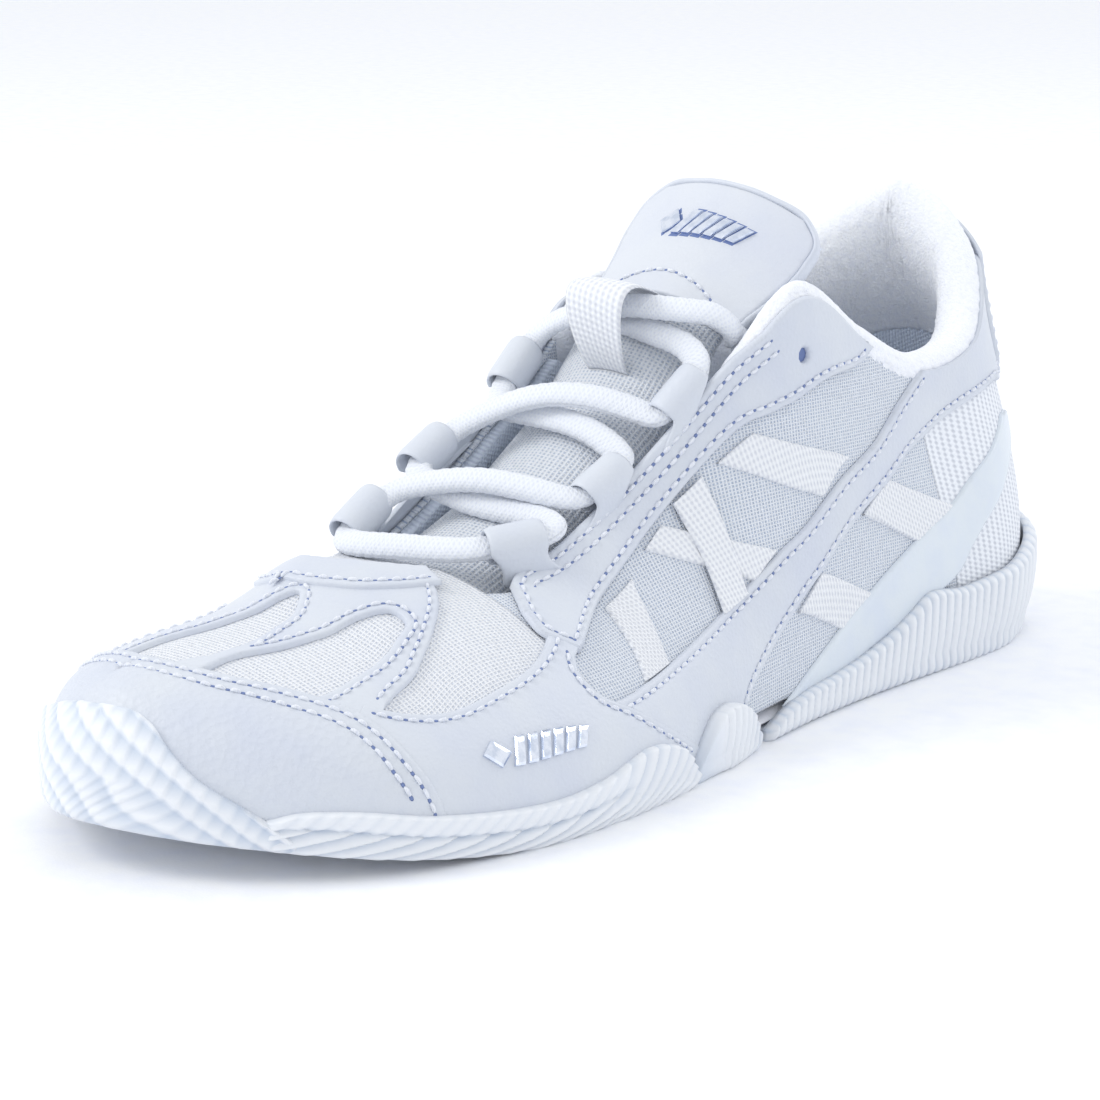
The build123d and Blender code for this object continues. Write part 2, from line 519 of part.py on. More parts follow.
def main():
    os.makedirs("parts", exist_ok=True)
    pieces = {}
    for group in (sole, front, sides, heel, tongue, trim):
        pieces.update(group())
    boxes = [solid.bounding_box() for solids in pieces.values() for solid in solids]
    lowest = [min(getattr(box.min, axis) for box in boxes) for axis in "XYZ"]
    highest = [max(getattr(box.max, axis) for box in boxes) for axis in "XYZ"]
    print("box before centring", lowest, highest)
    middle = [(low + high) / 2 for low, high in zip(lowest, highest)]
    shift = Location((-middle[0], -middle[1], -lowest[2]))
    for name, solids in pieces.items():
        moved = [solid.moved(shift) for solid in solids]
        shape = moved[0] if len(moved) == 1 else Compound(children=moved)
        export_step(shape, f"parts/{name}.step")


if __name__ == "__main__":
    main()
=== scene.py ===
"""Looks of a lace-up cheer shoe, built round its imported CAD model.

Shapes are worked out in millimetres on the same charts as the CAD part.  to_frame() turns them
into metres in the model's frame.  A point of the upper is named by
  s  round the sole edge, 0 at the toe tip, +1 at the heel by the lateral side, -1 by the medial,
  t  up the side, 0 at the sole edge and 1 at the vamp ridge, eyestay edge or collar.
"""
import math
import bpy
import numpy as np
from mathutils import Matrix, Vector
from mathutils.geometry import delaunay_2d_cdt


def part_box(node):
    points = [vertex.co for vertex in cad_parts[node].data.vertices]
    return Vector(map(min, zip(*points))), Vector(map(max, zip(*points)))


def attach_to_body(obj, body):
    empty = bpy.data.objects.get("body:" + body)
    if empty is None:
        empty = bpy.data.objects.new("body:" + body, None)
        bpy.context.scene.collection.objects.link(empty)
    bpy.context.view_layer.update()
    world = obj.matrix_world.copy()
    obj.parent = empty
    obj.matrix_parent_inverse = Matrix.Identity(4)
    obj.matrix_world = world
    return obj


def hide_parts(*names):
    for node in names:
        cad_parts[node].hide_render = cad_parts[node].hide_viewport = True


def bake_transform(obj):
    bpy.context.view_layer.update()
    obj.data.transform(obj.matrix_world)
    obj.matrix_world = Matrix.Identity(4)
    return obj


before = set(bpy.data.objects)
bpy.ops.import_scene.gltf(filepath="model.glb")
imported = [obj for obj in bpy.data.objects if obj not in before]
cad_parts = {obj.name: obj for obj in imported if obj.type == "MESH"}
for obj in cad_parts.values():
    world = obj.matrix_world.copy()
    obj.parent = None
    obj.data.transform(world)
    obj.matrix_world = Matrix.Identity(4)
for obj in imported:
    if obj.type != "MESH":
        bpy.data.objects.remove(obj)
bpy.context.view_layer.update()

PADS_LOW = (-23, 19, 0)         # low corner of the heel's tread pads in the chart
SHIFT = np.array(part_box("heel_tread_pads")[0]) * 1000 - PADS_LOW


def to_frame(points):
    return (np.asarray(points, float) + SHIFT) * 0.001


# ---------------------------------------------------------------- lines and vectors
def unit(vectors):
    return vectors / np.linalg.norm(vectors, axis=-1, keepdims=True)


def run_of(line):
    """Distance along a line at each of its points."""
    return np.concatenate([[0], np.cumsum(np.linalg.norm(np.diff(line, axis=0), axis=1))])


def read(at, run, line):
    """Values at distances along a line that is given at run."""
    return np.stack([np.interp(at, run, column) for column in line.T], -1)


def hermite(at, run, points, slope):
    """Smooth line through points that are run apart, with a slope at each."""
    k = np.clip(np.searchsorted(run, at, side="right") - 1, 0, len(run) - 2)
    width = (run[k + 1] - run[k])[:, None]
    u = (at - run[k])[:, None] / width
    return (points[k] * (1 + 2 * u) * (1 - u) ** 2 + slope[k] * width * u * (1 - u) ** 2
            + points[k + 1] * u * u * (3 - 2 * u) + slope[k + 1] * width * u * u * (u - 1))


def circle(count):
    """Angles of evenly spaced points round a closed ring."""
    return np.linspace(0, 2 * np.pi, count, endpoint=False)


# ---------------------------------------------------------------- camera
AZIMUTH, ELEVATION, ROLL = 38.729, 12.358, 0.273
DISTANCE = 0.6865        # metres from AIM
AIM = (0, 0, 45)
SENSOR, LENS = 36, 106.95
SHIFT_X, SHIFT_Y = -0.0314, -0.0377


def make_camera():
    """The camera, aimed at AIM from the angle of the view and shifted to its crop."""
    a, e, r = (math.radians(angle) for angle in (AZIMUTH, ELEVATION, ROLL))
    back = Vector((math.sin(a) * math.cos(e), -math.cos(a) * math.cos(e), math.sin(e)))
    level = Vector((math.cos(a), math.sin(a), 0))
    over = back.cross(level)
    right = level * math.cos(r) + over * math.sin(r)
    up = over * math.cos(r) - level * math.sin(r)
    data = bpy.data.cameras.new("camera")
    data.sensor_width = SENSOR
    data.lens = LENS
    data.shift_x, data.shift_y = SHIFT_X, SHIFT_Y
    camera = bpy.data.objects.new("camera", data)
    bpy.context.scene.collection.objects.link(camera)
    turn = Matrix((right, up, back)).transposed().to_4x4()
    camera.matrix_world = Matrix.Translation(Vector(to_frame(AIM)) + back * DISTANCE) @ turn
    bpy.context.scene.camera = camera


make_camera()

# ---------------------------------------------------------------- chart of the upper
FOOT_Z = 5.0
GROUND_T = -0.1
TOE_SPRING, TOE_SPRING_START = 9.0, -70.0
HEEL_BEVEL, HEEL_BEVEL_START = 4.0, 105.0
# Stations: sole edge x, y; top line x, y, z; side bulge, rise; shoulder reach, drop
LATERAL = [
    (-11.6, -134.2, -12, -121, 31.5, 2, 11, 6, 0), (6.4, -131.5, -11.8, -118, 32.9, 2, 12, 14, 0),
    (24.7, -118.6, -11.6, -112.5, 34.2, 3, 13, 22, 0), (39, -101, -12.2, -104, 35.4, 4, 13, 30, 0),
    (46.5, -80, -11, -88, 37.6, 4, 14, 34, 0), (49, -58, -12, -70, 43.5, 4, 15, 34, 1),
    (48, -36, 4, -49, 41.5, 4, 14, 26, 4), (44, -14, 15, -32, 43.5, 3, 15, 18, 8),
    (40, 8, 19, -6, 56, 2, 18, 12, 14), (37.5, 31, 26, 17, 77, 1, 24, 6, 22),
    (36.5, 52, 30, 36, 90, 1, 28, 2, 28), (36.5, 72, 31, 58, 78, 2, 24, 0, 22),
    (36.5, 92, 31, 82, 68, 4, 20, -1, 18), (35, 110, 29, 104, 72, 6, 20, 1, 20),
    (27, 126.5, 20, 119, 87, 8, 24, 2, 26), (3, 135, 0, 126, 99, 10, 26, 3, 30)]
MEDIAL = [
    (-11.6, -134.2, -12, -121, 31.5, 2, 11, 6, 0), (-24, -126.8, -11.8, -118, 32.9, 1.2, 11.8, 9.7, 0.3),
    (-35.5, -115.3, -11.6, -112.5, 34.2, 2.2, 12.6, 15.4, 0.8),
    (-42.3, -100, -12.2, -104, 35.4, 3.4, 12.5, 19.2, 1.8),
    (-43.4, -81, -11, -88, 37.6, 3.5, 15.2, 20, 3), (-41.6, -60.6, -14, -70, 43.5, 3.4, 17, 17, 5.5),
    (-38, -40, -22, -52, 41.5, 4, 18, 13, 5), (-32, -18, -24, -36, 46, 3, 20, 9, 10),
    (-28, 5, -24, -8, 60, 1, 24, 6, 16), (-28, 28, -26, 16, 74, 0, 28, 3, 24),
    (-29, 48, -28, 34, 86, 0, 30, 1, 28), (-31, 70, -29, 56, 80, 1, 26, 0, 24),
    (-31.5, 91, -29, 78, 78, 3, 22, -1, 20), (-30, 110, -26, 101, 82, 5, 22, 1, 22),
    (-22, 126, -16, 117, 93, 8, 24, 2, 26), (3, 135, 0, 126, 99, 10, 26, 3, 30)]


def tread(y):
    """Height of the tread above the floor: toe spring and heel bevel."""
    toe = np.clip((TOE_SPRING_START - y) / 65.0, 0, None) ** 1.5 * TOE_SPRING
    heel = np.clip((y - HEEL_BEVEL_START) / 30.0, 0, None) ** 1.5 * HEEL_BEVEL
    return toe + heel


def station_table():
    """s of every station from heel to heel, the rows and their slopes."""
    rows = np.array(MEDIAL[::-1] + LATERAL[1:], float)
    step = np.hypot(*np.diff(rows[:, :2], axis=0).T)
    run = np.concatenate([[0], np.cumsum(step)])
    toe = len(MEDIAL) - 1
    medial_s = run / run[toe] - 1
    lateral_s = (run - run[toe]) / (run[-1] - run[toe])
    knots = np.where(run <= run[toe], medial_s, lateral_s)
    around = np.concatenate([[knots[-2] - 2], knots, [knots[1] + 2]])
    ring = np.concatenate([rows[-2:-1], rows, rows[1:2]])
    return knots, rows, np.gradient(ring, around, axis=0)[1:-1]


KNOTS, ROWS, SLOPES = station_table()


def station(s):
    """Cubic Hermite values and slopes of the station table at s."""
    s = np.clip(s, -1, 1)
    k = np.clip(np.searchsorted(KNOTS, s, side="right") - 1, 0, len(KNOTS) - 2)
    width = (KNOTS[k + 1] - KNOTS[k])[..., None]
    u = (s - KNOTS[k])[..., None] / width
    a, b = ROWS[k], ROWS[k + 1]
    ma, mb = SLOPES[k] * width, SLOPES[k + 1] * width
    value = (a * (1 + 2 * u) * (1 - u) ** 2 + ma * u * (1 - u) ** 2
             + b * u * u * (3 - 2 * u) + mb * u * u * (u - 1))
    slope = ((b - a) * 6 * u * (1 - u) + ma * (1 - 4 * u + 3 * u * u)
             + mb * (3 * u * u - 2 * u)) / width
    return value, slope


def wrap(s):
    """Carry s past the heel centre on to the other side."""
    return np.where(s > 1, s - 2, np.where(s < -1, s + 2, s))


def shell(s, t):
    """Point on the shell; t below 0 drops straight to the ground."""
    s, t = np.broadcast_arrays(wrap(np.asarray(s, float)), np.asarray(t, float))
    row, slope = station(s)
    under = np.minimum(t, 0)[..., None] / GROUND_T * FOOT_Z
    t = np.maximum(t, 0)[..., None]
    foot = np.concatenate([row[..., :2], tread(row[..., 1:2]) + FOOT_Z], -1)
    top = row[..., 2:5]
    way = unit(slope[..., :2])
    out = np.stack([way[..., 1], -way[..., 0]], -1)
    reach = foot[..., :2] - top[..., :2]
    span = np.linalg.norm(reach, axis=-1, keepdims=True)
    mix = np.clip((span - 8) / 16, 0, 1)
    over = unit(out * (1 - mix) + reach / np.maximum(span, 1e-6) * mix)
    low = foot + np.concatenate([out * row[..., 5:6], row[..., 6:7]], -1)
    high = top + np.concatenate([over * row[..., 7:8], -row[..., 8:9]], -1)
    point = (foot * (1 - t) ** 3 + 3 * low * t * (1 - t) ** 2
             + 3 * high * t * t * (1 - t) + top * t ** 3)
    return point - np.concatenate([0 * under, 0 * under, under], -1)


def outward(s, t):
    """Unit normal of the shell, pointing out of the shoe."""
    e = 2e-3
    flat = np.clip(t, 0.01, 0.985)
    along = shell(s + e, flat) - shell(s - e, flat)
    up = shell(s, flat + e) - shell(s, flat - e)
    return unit(np.cross(along, up))


def raised(s, t, h):
    """Point at a height h over the shell."""
    s, t, h = np.broadcast_arrays(*[np.asarray(q, float) for q in (s, t, h)])
    return shell(s, t) + outward(s, t) * h[..., None]


# ---------------------------------------------------------------- chart across the vamp
VAMP_Y = np.linspace(-134, -44, 150)
VAMP_A = np.arange(-62.0, 84.0, 0.5)
MERIDIAN = np.sin(np.linspace(0, np.pi / 2, 70))        # t, closer together near the ridge
HALVINGS = 26


def find_s(y, t, side):
    """The s at which the line t of one side reaches a given y."""
    low, high = np.zeros(np.shape(t)), np.full(np.shape(t), 0.6)
    for _ in range(HALVINGS):
        mid = (low + high) / 2
        past = shell(side * mid, t)[..., 1] > y
        high, low = np.where(past, mid, high), np.where(past, low, mid)
    return (low + high) / 2 * side


def vamp_table():
    """Points and normals at even distances across the vamp, a row for each y."""
    places, normals, ends = [], [], []
    for y in VAMP_Y:
        low, high = 0.0, 1.0
        for _ in range(HALVINGS):
            mid = (low + high) / 2
            low, high = (mid, high) if shell(0.0, mid)[1] < y else (low, mid)
        t = MERIDIAN * high
        halves = [(shell(s, t), outward(s, t)) for s in (find_s(y, t, -1), find_s(y, t, 1))]
        line = np.concatenate([halves[0][0], halves[1][0][::-1]])
        normal = np.concatenate([halves[0][1], halves[1][1][::-1]])
        run = run_of(line)
        run -= (run[len(t) - 1] + run[len(t)]) / 2
        places.append(read(VAMP_A, run, line))
        normals.append(read(VAMP_A, run, normal))
        ends.append((run[0], run[-1]))
    return np.array(places), np.array(normals), np.array(ends)


VAMP_PLACES, VAMP_NORMALS, VAMP_ENDS = vamp_table()


def on_vamp(points, height):
    """Chart of the vamp: distance across from its ridge, and y."""
    a = (points[..., 0] - VAMP_A[0]) / (VAMP_A[1] - VAMP_A[0])
    y = (points[..., 1] - VAMP_Y[0]) / (VAMP_Y[1] - VAMP_Y[0])
    i = np.clip(a.astype(int), 0, len(VAMP_A) - 2)
    j = np.clip(y.astype(int), 0, len(VAMP_Y) - 2)
    u, v = (a - i)[..., None], (y - j)[..., None]

    def mix(table):
        return ((table[j, i] * (1 - u) + table[j, i + 1] * u) * (1 - v)
                + (table[j + 1, i] * (1 - u) + table[j + 1, i + 1] * u) * v)

    return mix(VAMP_PLACES) + unit(mix(VAMP_NORMALS)) * np.asarray(height, float)[..., None]


# ---------------------------------------------------------------- chart of the tongue
# Stations of the centre line: x, y, z and how hard the tongue curves down to its sides
TONGUE = np.array([(-8, -62, 35, 0.016), (-5, -44, 40, 0.018), (-3, -20, 51, 0.02),
                   (-2, 4, 67, 0.019), (-1, 21, 84, 0.014), (-0.5, 26.5, 89.5, 0.012),
                   (4, 48, 110.5, 0.011)])
TONGUE_RUN = run_of(TONGUE[:, :3])
TONGUE_LENGTH = TONGUE_RUN[-1]
TONGUE_SEAM = 0.745      # share of the length at which the padded top begins


def tongue_face(q, run):
    """Point of the tongue's face at q across and run along."""
    line = [np.interp(run, TONGUE_RUN, TONGUE[:, k]) for k in range(4)]
    start = TONGUE_SEAM * TONGUE_LENGTH
    lean = 0.12 * np.clip((run - start) / (TONGUE_LENGTH - start), 0, 1)
    return np.stack([line[0] + q, line[1] + 0.004 * q * q, line[2] - line[3] * q * q - lean * q], -1)


def on_tongue(points, height):
    """Chart of the tongue: distance across from its centre line, and along it."""
    q, run = points[..., 0], points[..., 1]
    e = 4.0
    along = tongue_face(q, np.minimum(run + e, TONGUE_LENGTH)) - tongue_face(q, run - e)
    across = tongue_face(q + e, run) - tongue_face(q - e, run)
    n = unit(np.cross(across, along))
    return tongue_face(q, run) + n * np.asarray(height, float)[..., None]


class Chart:
    """A surface to draw panels on: place(points, height) in mm, and mm per unit of each axis."""

    def __init__(self, place, scale, mirrored=False):
        self.place, self.scale, self.mirrored = place, np.array(scale, float), mirrored


SIGN = {"lateral": 1, "medial": -1}      # of s
SIDE = {"lateral": Chart(lambda p, h: raised(p[..., 0], p[..., 1], h), (300, 75)),
        "medial": Chart(lambda p, h: raised(-p[..., 0], p[..., 1], h), (290, 75), mirrored=True)}
VAMP = Chart(on_vamp, (1, 1))
TONGUE_CHART = Chart(on_tongue, (1, 1))

# ---------------------------------------------------------------- materials
LEATHER_COLOUR = (0.64, 0.675, 0.735)
THREAD_COLOUR = (0.78, 0.81, 0.87)
# Painted shade: colour of the dark dots at needle holes and of the cup behind each eyelet
HOLE_SHADE_COLOUR = (0.18, 0.24, 0.45)


class Shade:
    """A node material in the making."""

    def __init__(self, name, colour, roughness):
        self.material = bpy.data.materials.new(name)
        self.material.use_nodes = True
        self.tree = self.material.node_tree
        self.shader = self.tree.nodes["Principled BSDF"]
        self.shader.inputs["Roughness"].default_value = roughness
        self.colour = colour
        self.coordinates = self.tree.nodes.new("ShaderNodeTexCoord")
        self.relief = None

    def node(self, kind, **settings):
        made = self.tree.nodes.new(kind)
        for key, value in settings.items():
            setattr(made, key, value)
        return made

    def link(self, output, target):
        self.tree.links.new(output, target)

    def math(self, operation, a, b=None):
        made = self.node("ShaderNodeMath", operation=operation)
        for socket, value in zip(made.inputs, (a, b)):
            if value is None:
                continue
            if isinstance(value, (int, float)):
                socket.default_value = value
            else:
                self.link(value, socket)
        return made.outputs[0]

    def noise(self, scale, detail=3.0, roughness=0.55):
        made = self.node("ShaderNodeTexNoise")
        made.inputs["Scale"].default_value = scale
        made.inputs["Detail"].default_value = detail
        made.inputs["Roughness"].default_value = roughness
        self.link(self.coordinates.outputs["Object"], made.inputs["Vector"])
        return made.outputs["Fac"]

    def cells(self, scale, feature="F1"):
        made = self.node("ShaderNodeTexVoronoi", feature=feature)
        made.inputs["Scale"].default_value = scale
        self.link(self.coordinates.outputs["Object"], made.inputs["Vector"])
        return made.outputs["Distance"]

    def cloth_axes(self):
        """Distances in mm along and across the cloth, from the UV map."""
        split = self.node("ShaderNodeSeparateXYZ")
        self.link(self.coordinates.outputs["UV"], split.inputs[0])
        return split.outputs[0], split.outputs[1]

    def wave(self, distance, pitch, phase=0.0):
        """0 to 1 and back in each pitch."""
        turned = self.math("MULTIPLY", distance, 2 * math.pi / pitch)
        swing = self.math("SINE", self.math("ADD", turned, phase))
        return self.math("MULTIPLY", self.math("ADD", swing, 1.0), 0.5)

    def tint(self, factor, low, high, dark):
        """Colour from dark where factor is low to the base colour where it is high."""
        ramp = self.node("ShaderNodeValToRGB")
        ramp.color_ramp.elements[0].position = low
        ramp.color_ramp.elements[1].position = high
        ramp.color_ramp.elements[0].color = (*dark, 1)
        ramp.color_ramp.elements[1].color = (*self.colour, 1)
        self.link(factor, ramp.inputs[0])
        self.link(ramp.outputs[0], self.shader.inputs["Base Color"])
        return self

    def bump(self, height, strength, depth):
        """Add relief of a depth in mm; several reliefs stack."""
        made = self.node("ShaderNodeBump")
        made.inputs["Strength"].default_value = strength
        made.inputs["Distance"].default_value = depth * 0.001
        self.link(height, made.inputs["Height"])
        if self.relief is not None:
            self.link(self.relief, made.inputs["Normal"])
        self.relief = made.outputs[0]
        self.link(self.relief, self.shader.inputs["Normal"])
        return self

    def set(self, **values):
        for key, value in values.items():
            self.shader.inputs[key.replace("_", " ")].default_value = value
        return self


def darker(colour, share):
    return tuple(c * k for c, k in zip(colour, (share, share * 1.01, min(1, share * 1.06))))


def leather(name, colour, grain, depth):
    shade = Shade(name, colour, 0.42)
    shade.tint(shade.noise(55, 4), 0.3, 0.62, darker(colour, 0.93))
    shade.bump(shade.noise(140, 3), 0.35, 0.5)
    shade.bump(shade.cells(1000 / grain), 0.6, depth)
    shade.bump(shade.noise(2600 / grain, 2), 0.4, depth * 0.7)
    return shade.set(Specular_IOR_Level=0.45).material


def open_mesh(name, colour, pitch_x, pitch_y, dark):
    """Knitted mesh: rows of small holes, each row half a pitch on from the last, with painted shade in
    the holes.
    """
    shade = Shade(name, colour, 0.75)
    x, y = shade.cloth_axes()
    rows = shade.wave(y, pitch_y)
    first = shade.wave(x, pitch_x)
    slant = shade.math("ADD", x, shade.math("MULTIPLY", y, 0.5))
    second = shade.wave(slant, pitch_x * 2.3, 1.3)
    body = shade.math("ADD", shade.math("MULTIPLY", first, 0.8), shade.math("MULTIPLY", second, 0.2))
    body = shade.math("MAXIMUM", body, shade.math("MULTIPLY", rows, 0.92))
    uneven = shade.math("MULTIPLY", shade.math("SUBTRACT", shade.noise(700, 3), 0.5), 0.5)
    body = shade.math("ADD", body, uneven)
    # Painted shade: the holes take the dark colour; the unevenness on top is random tone
    shade.tint(body, 0.18, 0.62, dark)
    shade.bump(body, 0.9, 0.35)
    shade.bump(shade.noise(3500, 2), 0.5, 0.15)
    return shade.set(Sheen_Weight=0.25, Specular_IOR_Level=0.2).material


def ribbed_weave(name, colour, rib, cross, dark=0.8):
    """Webbing: thick ribs one way, fine threads the other, with painted shade between them."""
    shade = Shade(name, colour, 0.7)
    x, y = shade.cloth_axes()
    ribs = shade.wave(x, rib)
    threads = shade.wave(shade.math("ADD", y, shade.math("MULTIPLY", x, 0.35)), cross)
    body = shade.math("ADD", shade.math("MULTIPLY", ribs, 0.6), shade.math("MULTIPLY", threads, 0.4))
    # Painted shade: the valleys between ribs and threads are darker by the share dark
    shade.tint(body, 0.1, 0.6, darker(colour, dark))
    shade.bump(body, 0.9, 0.35)
    shade.bump(shade.noise(3000, 2), 0.4, 0.12)
    return shade.set(Sheen_Weight=0.2, Specular_IOR_Level=0.2).material


def terry(name, colour):
    shade = Shade(name, colour, 0.9)
    shade.tint(shade.noise(900, 5, 0.7), 0.32, 0.55, darker(colour, 0.93))
    shade.bump(shade.cells(1500), 0.5, 0.3)
    shade.bump(shade.noise(2400, 4, 0.7), 0.5, 0.3)
    return shade.set(Sheen_Weight=0.1, Specular_IOR_Level=0.1).material


def moulded(name, colour, roughness, speckle=0.12):
    shade = Shade(name, colour, roughness)
    shade.tint(shade.noise(120, 4), 0.3, 0.6, darker(colour, 0.95))
    shade.bump(shade.noise(1400, 3), 0.35, speckle)
    return shade.set(Specular_IOR_Level=0.4).material


def valley_shaded(name, colour, dark):
    """Rubber relief: the second UV coordinate is how far the surface stands out, from 0 to 1; its valleys
    are tinted dark as painted shade.
    """
    shade = Shade(name, colour, 0.4)
    stand = shade.cloth_axes()[1]
    uneven = shade.math("MULTIPLY", shade.noise(300, 2), 0.1)
    # Painted shade: the low places of the relief take the dark colour
    shade.tint(shade.math("ADD", stand, uneven), 0.0, 0.8, dark)
    shade.bump(shade.noise(1400, 3), 0.3, 0.12)
    return shade.set(Specular_IOR_Level=0.45).material


def polished(name):
    shade = Shade(name, (0.80, 0.84, 0.93), 0.12)
    shade.tint(shade.noise(500, 3), 0.35, 0.6, (0.62, 0.68, 0.80))
    shade.bump(shade.noise(260, 2), 0.15, 0.3)
    return shade.set(Metallic=1.0).material


def braid(name, colour):
    """Tubular lace: chevrons of yarn along it, with painted shade between the yarns."""
    shade = Shade(name, colour, 0.7)
    along, around = shade.cloth_axes()
    left = shade.wave(shade.math("ADD", along, around), 1.0)
    right = shade.wave(shade.math("SUBTRACT", along, around), 1.0)
    body = shade.math("MAXIMUM", left, right)
    # Painted shade: a little darker between the yarns
    shade.tint(body, 0.25, 0.85, darker(colour, 0.93))
    shade.bump(body, 0.5, 0.2)
    shade.bump(shade.noise(2600, 2), 0.4, 0.15)
    return shade.set(Sheen_Weight=0.3, Specular_IOR_Level=0.2).material


MATERIALS = {
    "leather": leather("smooth_leather", LEATHER_COLOUR, 0.9, 0.10),
    "pebbled": leather("pebbled_leather", LEATHER_COLOUR, 1.5, 0.30),
    "patch": leather("patch_leather", (0.65, 0.68, 0.735), 0.7, 0.06),
    # A knit's last colour is the painted shade in its holes; a weave's last number is how dark the
    # painted shade between its ribs is
    "vamp_mesh": open_mesh("vamp_mesh_knit", (0.82, 0.84, 0.88), 1.0, 0.85, (0.60, 0.65, 0.75)),
    "side_mesh": open_mesh("side_mesh_knit", (0.76, 0.80, 0.865), 0.85, 0.75, (0.42, 0.50, 0.65)),
    "rear_mesh": ribbed_weave("rear_mesh_rib", (0.84, 0.87, 0.92), 1.9, 1.2, 0.7),
    "tongue_mesh": open_mesh("tongue_mesh_knit", (0.77, 0.80, 0.85), 1.0, 0.85, (0.50, 0.57, 0.69)),
    "webbing": ribbed_weave("webbing_weave", (0.86, 0.88, 0.915), 1.0, 1.5, 0.8),
    "binding": ribbed_weave("binding_weave", (0.86, 0.89, 0.95), 0.8, 1.1),
    "lining": ribbed_weave("lining_knit", (0.79, 0.86, 0.97), 1.0, 1.0),
    "terry": terry("collar_terry", (0.92, 0.94, 0.98)),
    "rubber": moulded("sole_rubber", (0.80, 0.83, 0.88), 0.4),
    # The second colour is painted shade in the valleys of the sole's relief
    "relief": valley_shaded("sole_relief_valley_shade", (0.79, 0.815, 0.855), (0.50, 0.575, 0.69)),
    "foam": moulded("sole_foam", (0.86, 0.87, 0.90), 0.8, 0.3),
    "board": moulded("fibre_board", (0.72, 0.71, 0.68), 0.85, 0.3),
    "film": moulded("satin_film", (0.69, 0.745, 0.80), 0.25, 0.1),
    "plastic": moulded("shank_plastic", (0.62, 0.64, 0.68), 0.4),
    "tip": moulded("lace_tip", (0.85, 0.88, 0.93), 0.2, 0.02),
    "badge": polished("polished_metal"),
    "lace": braid("lace_braid", (0.80, 0.83, 0.88)),
    "thread": braid("stitch_thread", THREAD_COLOUR),
    # Painted shade for the needle holes and the eyelets
    "hole": moulded("hole_painted_shade", HOLE_SHADE_COLOUR, 0.8),
    # Painted shadow round the feet of the badge marks
    "painted_badge_shadow": moulded("badge_shadow", (0.13, 0.19, 0.40), 0.4),
}


# ---------------------------------------------------------------- meshes
def mesh_object(name, points, faces, materials, face_materials=None, uv=None):
    """A smooth-shaded object from points in millimetres; uv is in mm, one pair for each point."""
    mesh = bpy.data.meshes.new(name)
    mesh.from_pydata(to_frame(points).tolist(), [], [list(map(int, f)) for f in faces])
    for key in materials:
        mesh.materials.append(MATERIALS[key])
    if face_materials is not None:
        mesh.polygons.foreach_set("material_index", np.asarray(face_materials, np.int32))
    if uv is not None:
        layer = mesh.uv_layers.new(name="cloth")
        corners = np.zeros(len(mesh.loops), np.int32)
        mesh.loops.foreach_get("vertex_index", corners)
        layer.data.foreach_set("uv", np.asarray(uv, np.float32)[corners].ravel())
    mesh.shade_smooth()
    mesh.update()
    made = bpy.data.objects.new(name, mesh)
    bpy.context.scene.collection.objects.link(made)
    return made


def attach(piece, body, slot, *nodes):
    """Ride on a body, or stay unparented with its transform baked in where body is "flex"."""
    if body == "flex":
        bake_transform(piece)
    else:
        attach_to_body(piece, body)
    if nodes:
        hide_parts(*nodes)
    return piece


def grid_faces(rows, columns, closed=False, start=0):
    """Quads of a point grid, counter-clockwise where rows x columns points outwards."""
    i, j = np.meshgrid(np.arange(rows - 1), np.arange(columns - (not closed)), indexing="ij")
    i, i2, j2 = i * columns, (i + 1) * columns, (j + 1) % columns
    quads = np.stack([i + j, i2 + j, i2 + j2, i + j2], -1)
    return (quads.reshape(-1, 4) + start).tolist()


def turned_over(faces):
    return [face[::-1] for face in faces]


def tube(name, rings, material, uv=None, flipped=False):
    """Closed skin through a row of rings of points, with a flat cap on each end."""
    rows, around = rings.shape[:2]
    first, last = list(range(around)), list(range((rows - 1) * around, rows * around))
    faces = grid_faces(rows, around, closed=True) + [first[::-1], last]
    if flipped:
        faces = turned_over(faces)
    if uv is not None:
        uv = np.stack(np.broadcast_arrays(*uv), -1).reshape(-1, 2)
    return mesh_object(name, rings.reshape(-1, 3), faces, [material], uv=uv)


def grid_slab(name, outer, inner, material, uv=None, flipped=False):
    """Closed sheet between two point grids of the same size."""
    rows, columns = outer.shape[:2]
    half = rows * columns
    faces = grid_faces(rows, columns)
    faces += turned_over(grid_faces(rows, columns, start=half))
    rim = ([i * columns for i in range(rows)] + [(rows - 1) * columns + j for j in range(1, columns)]
           + [i * columns + columns - 1 for i in range(rows - 2, -1, -1)]
           + list(range(columns - 2, 0, -1)))
    faces += [[a, a + half, b + half, b] for a, b in zip(rim, rim[1:] + rim[:1])]
    if flipped:
        faces = turned_over(faces)
    if uv is None:
        uv = np.stack(np.meshgrid(run_of(outer[:, columns // 2]), run_of(outer[rows // 2]),
                                  indexing="ij"), -1)
    points = np.concatenate([outer.reshape(-1, 3), inner.reshape(-1, 3)])
    pairs = np.concatenate([uv.reshape(-1, 2)] * 2)
    return mesh_object(name, points, faces, [material], uv=pairs)


def joined(name, parts):
    """One object from several made alike."""
    if len(parts) > 1:
        with bpy.context.temp_override(active_object=parts[0], selected_editable_objects=parts):
            bpy.ops.object.join()
    parts[0].name = name
    return parts[0]


# ---------------------------------------------------------------- outlines
OUTLINE_STEP = 0.9      # mm between points of a panel's outline


class Edge:
    """A stretch of a panel's outline: smooth through its points, and what is done to it.

    rows are distances in from the edge at which it is stitched; a raw edge lies under another
    panel, so it is neither rounded nor stitched."""

    def __init__(self, points, rows=(), raw=False):
        self.points, self.rows, self.raw = np.array(points, float), rows, raw


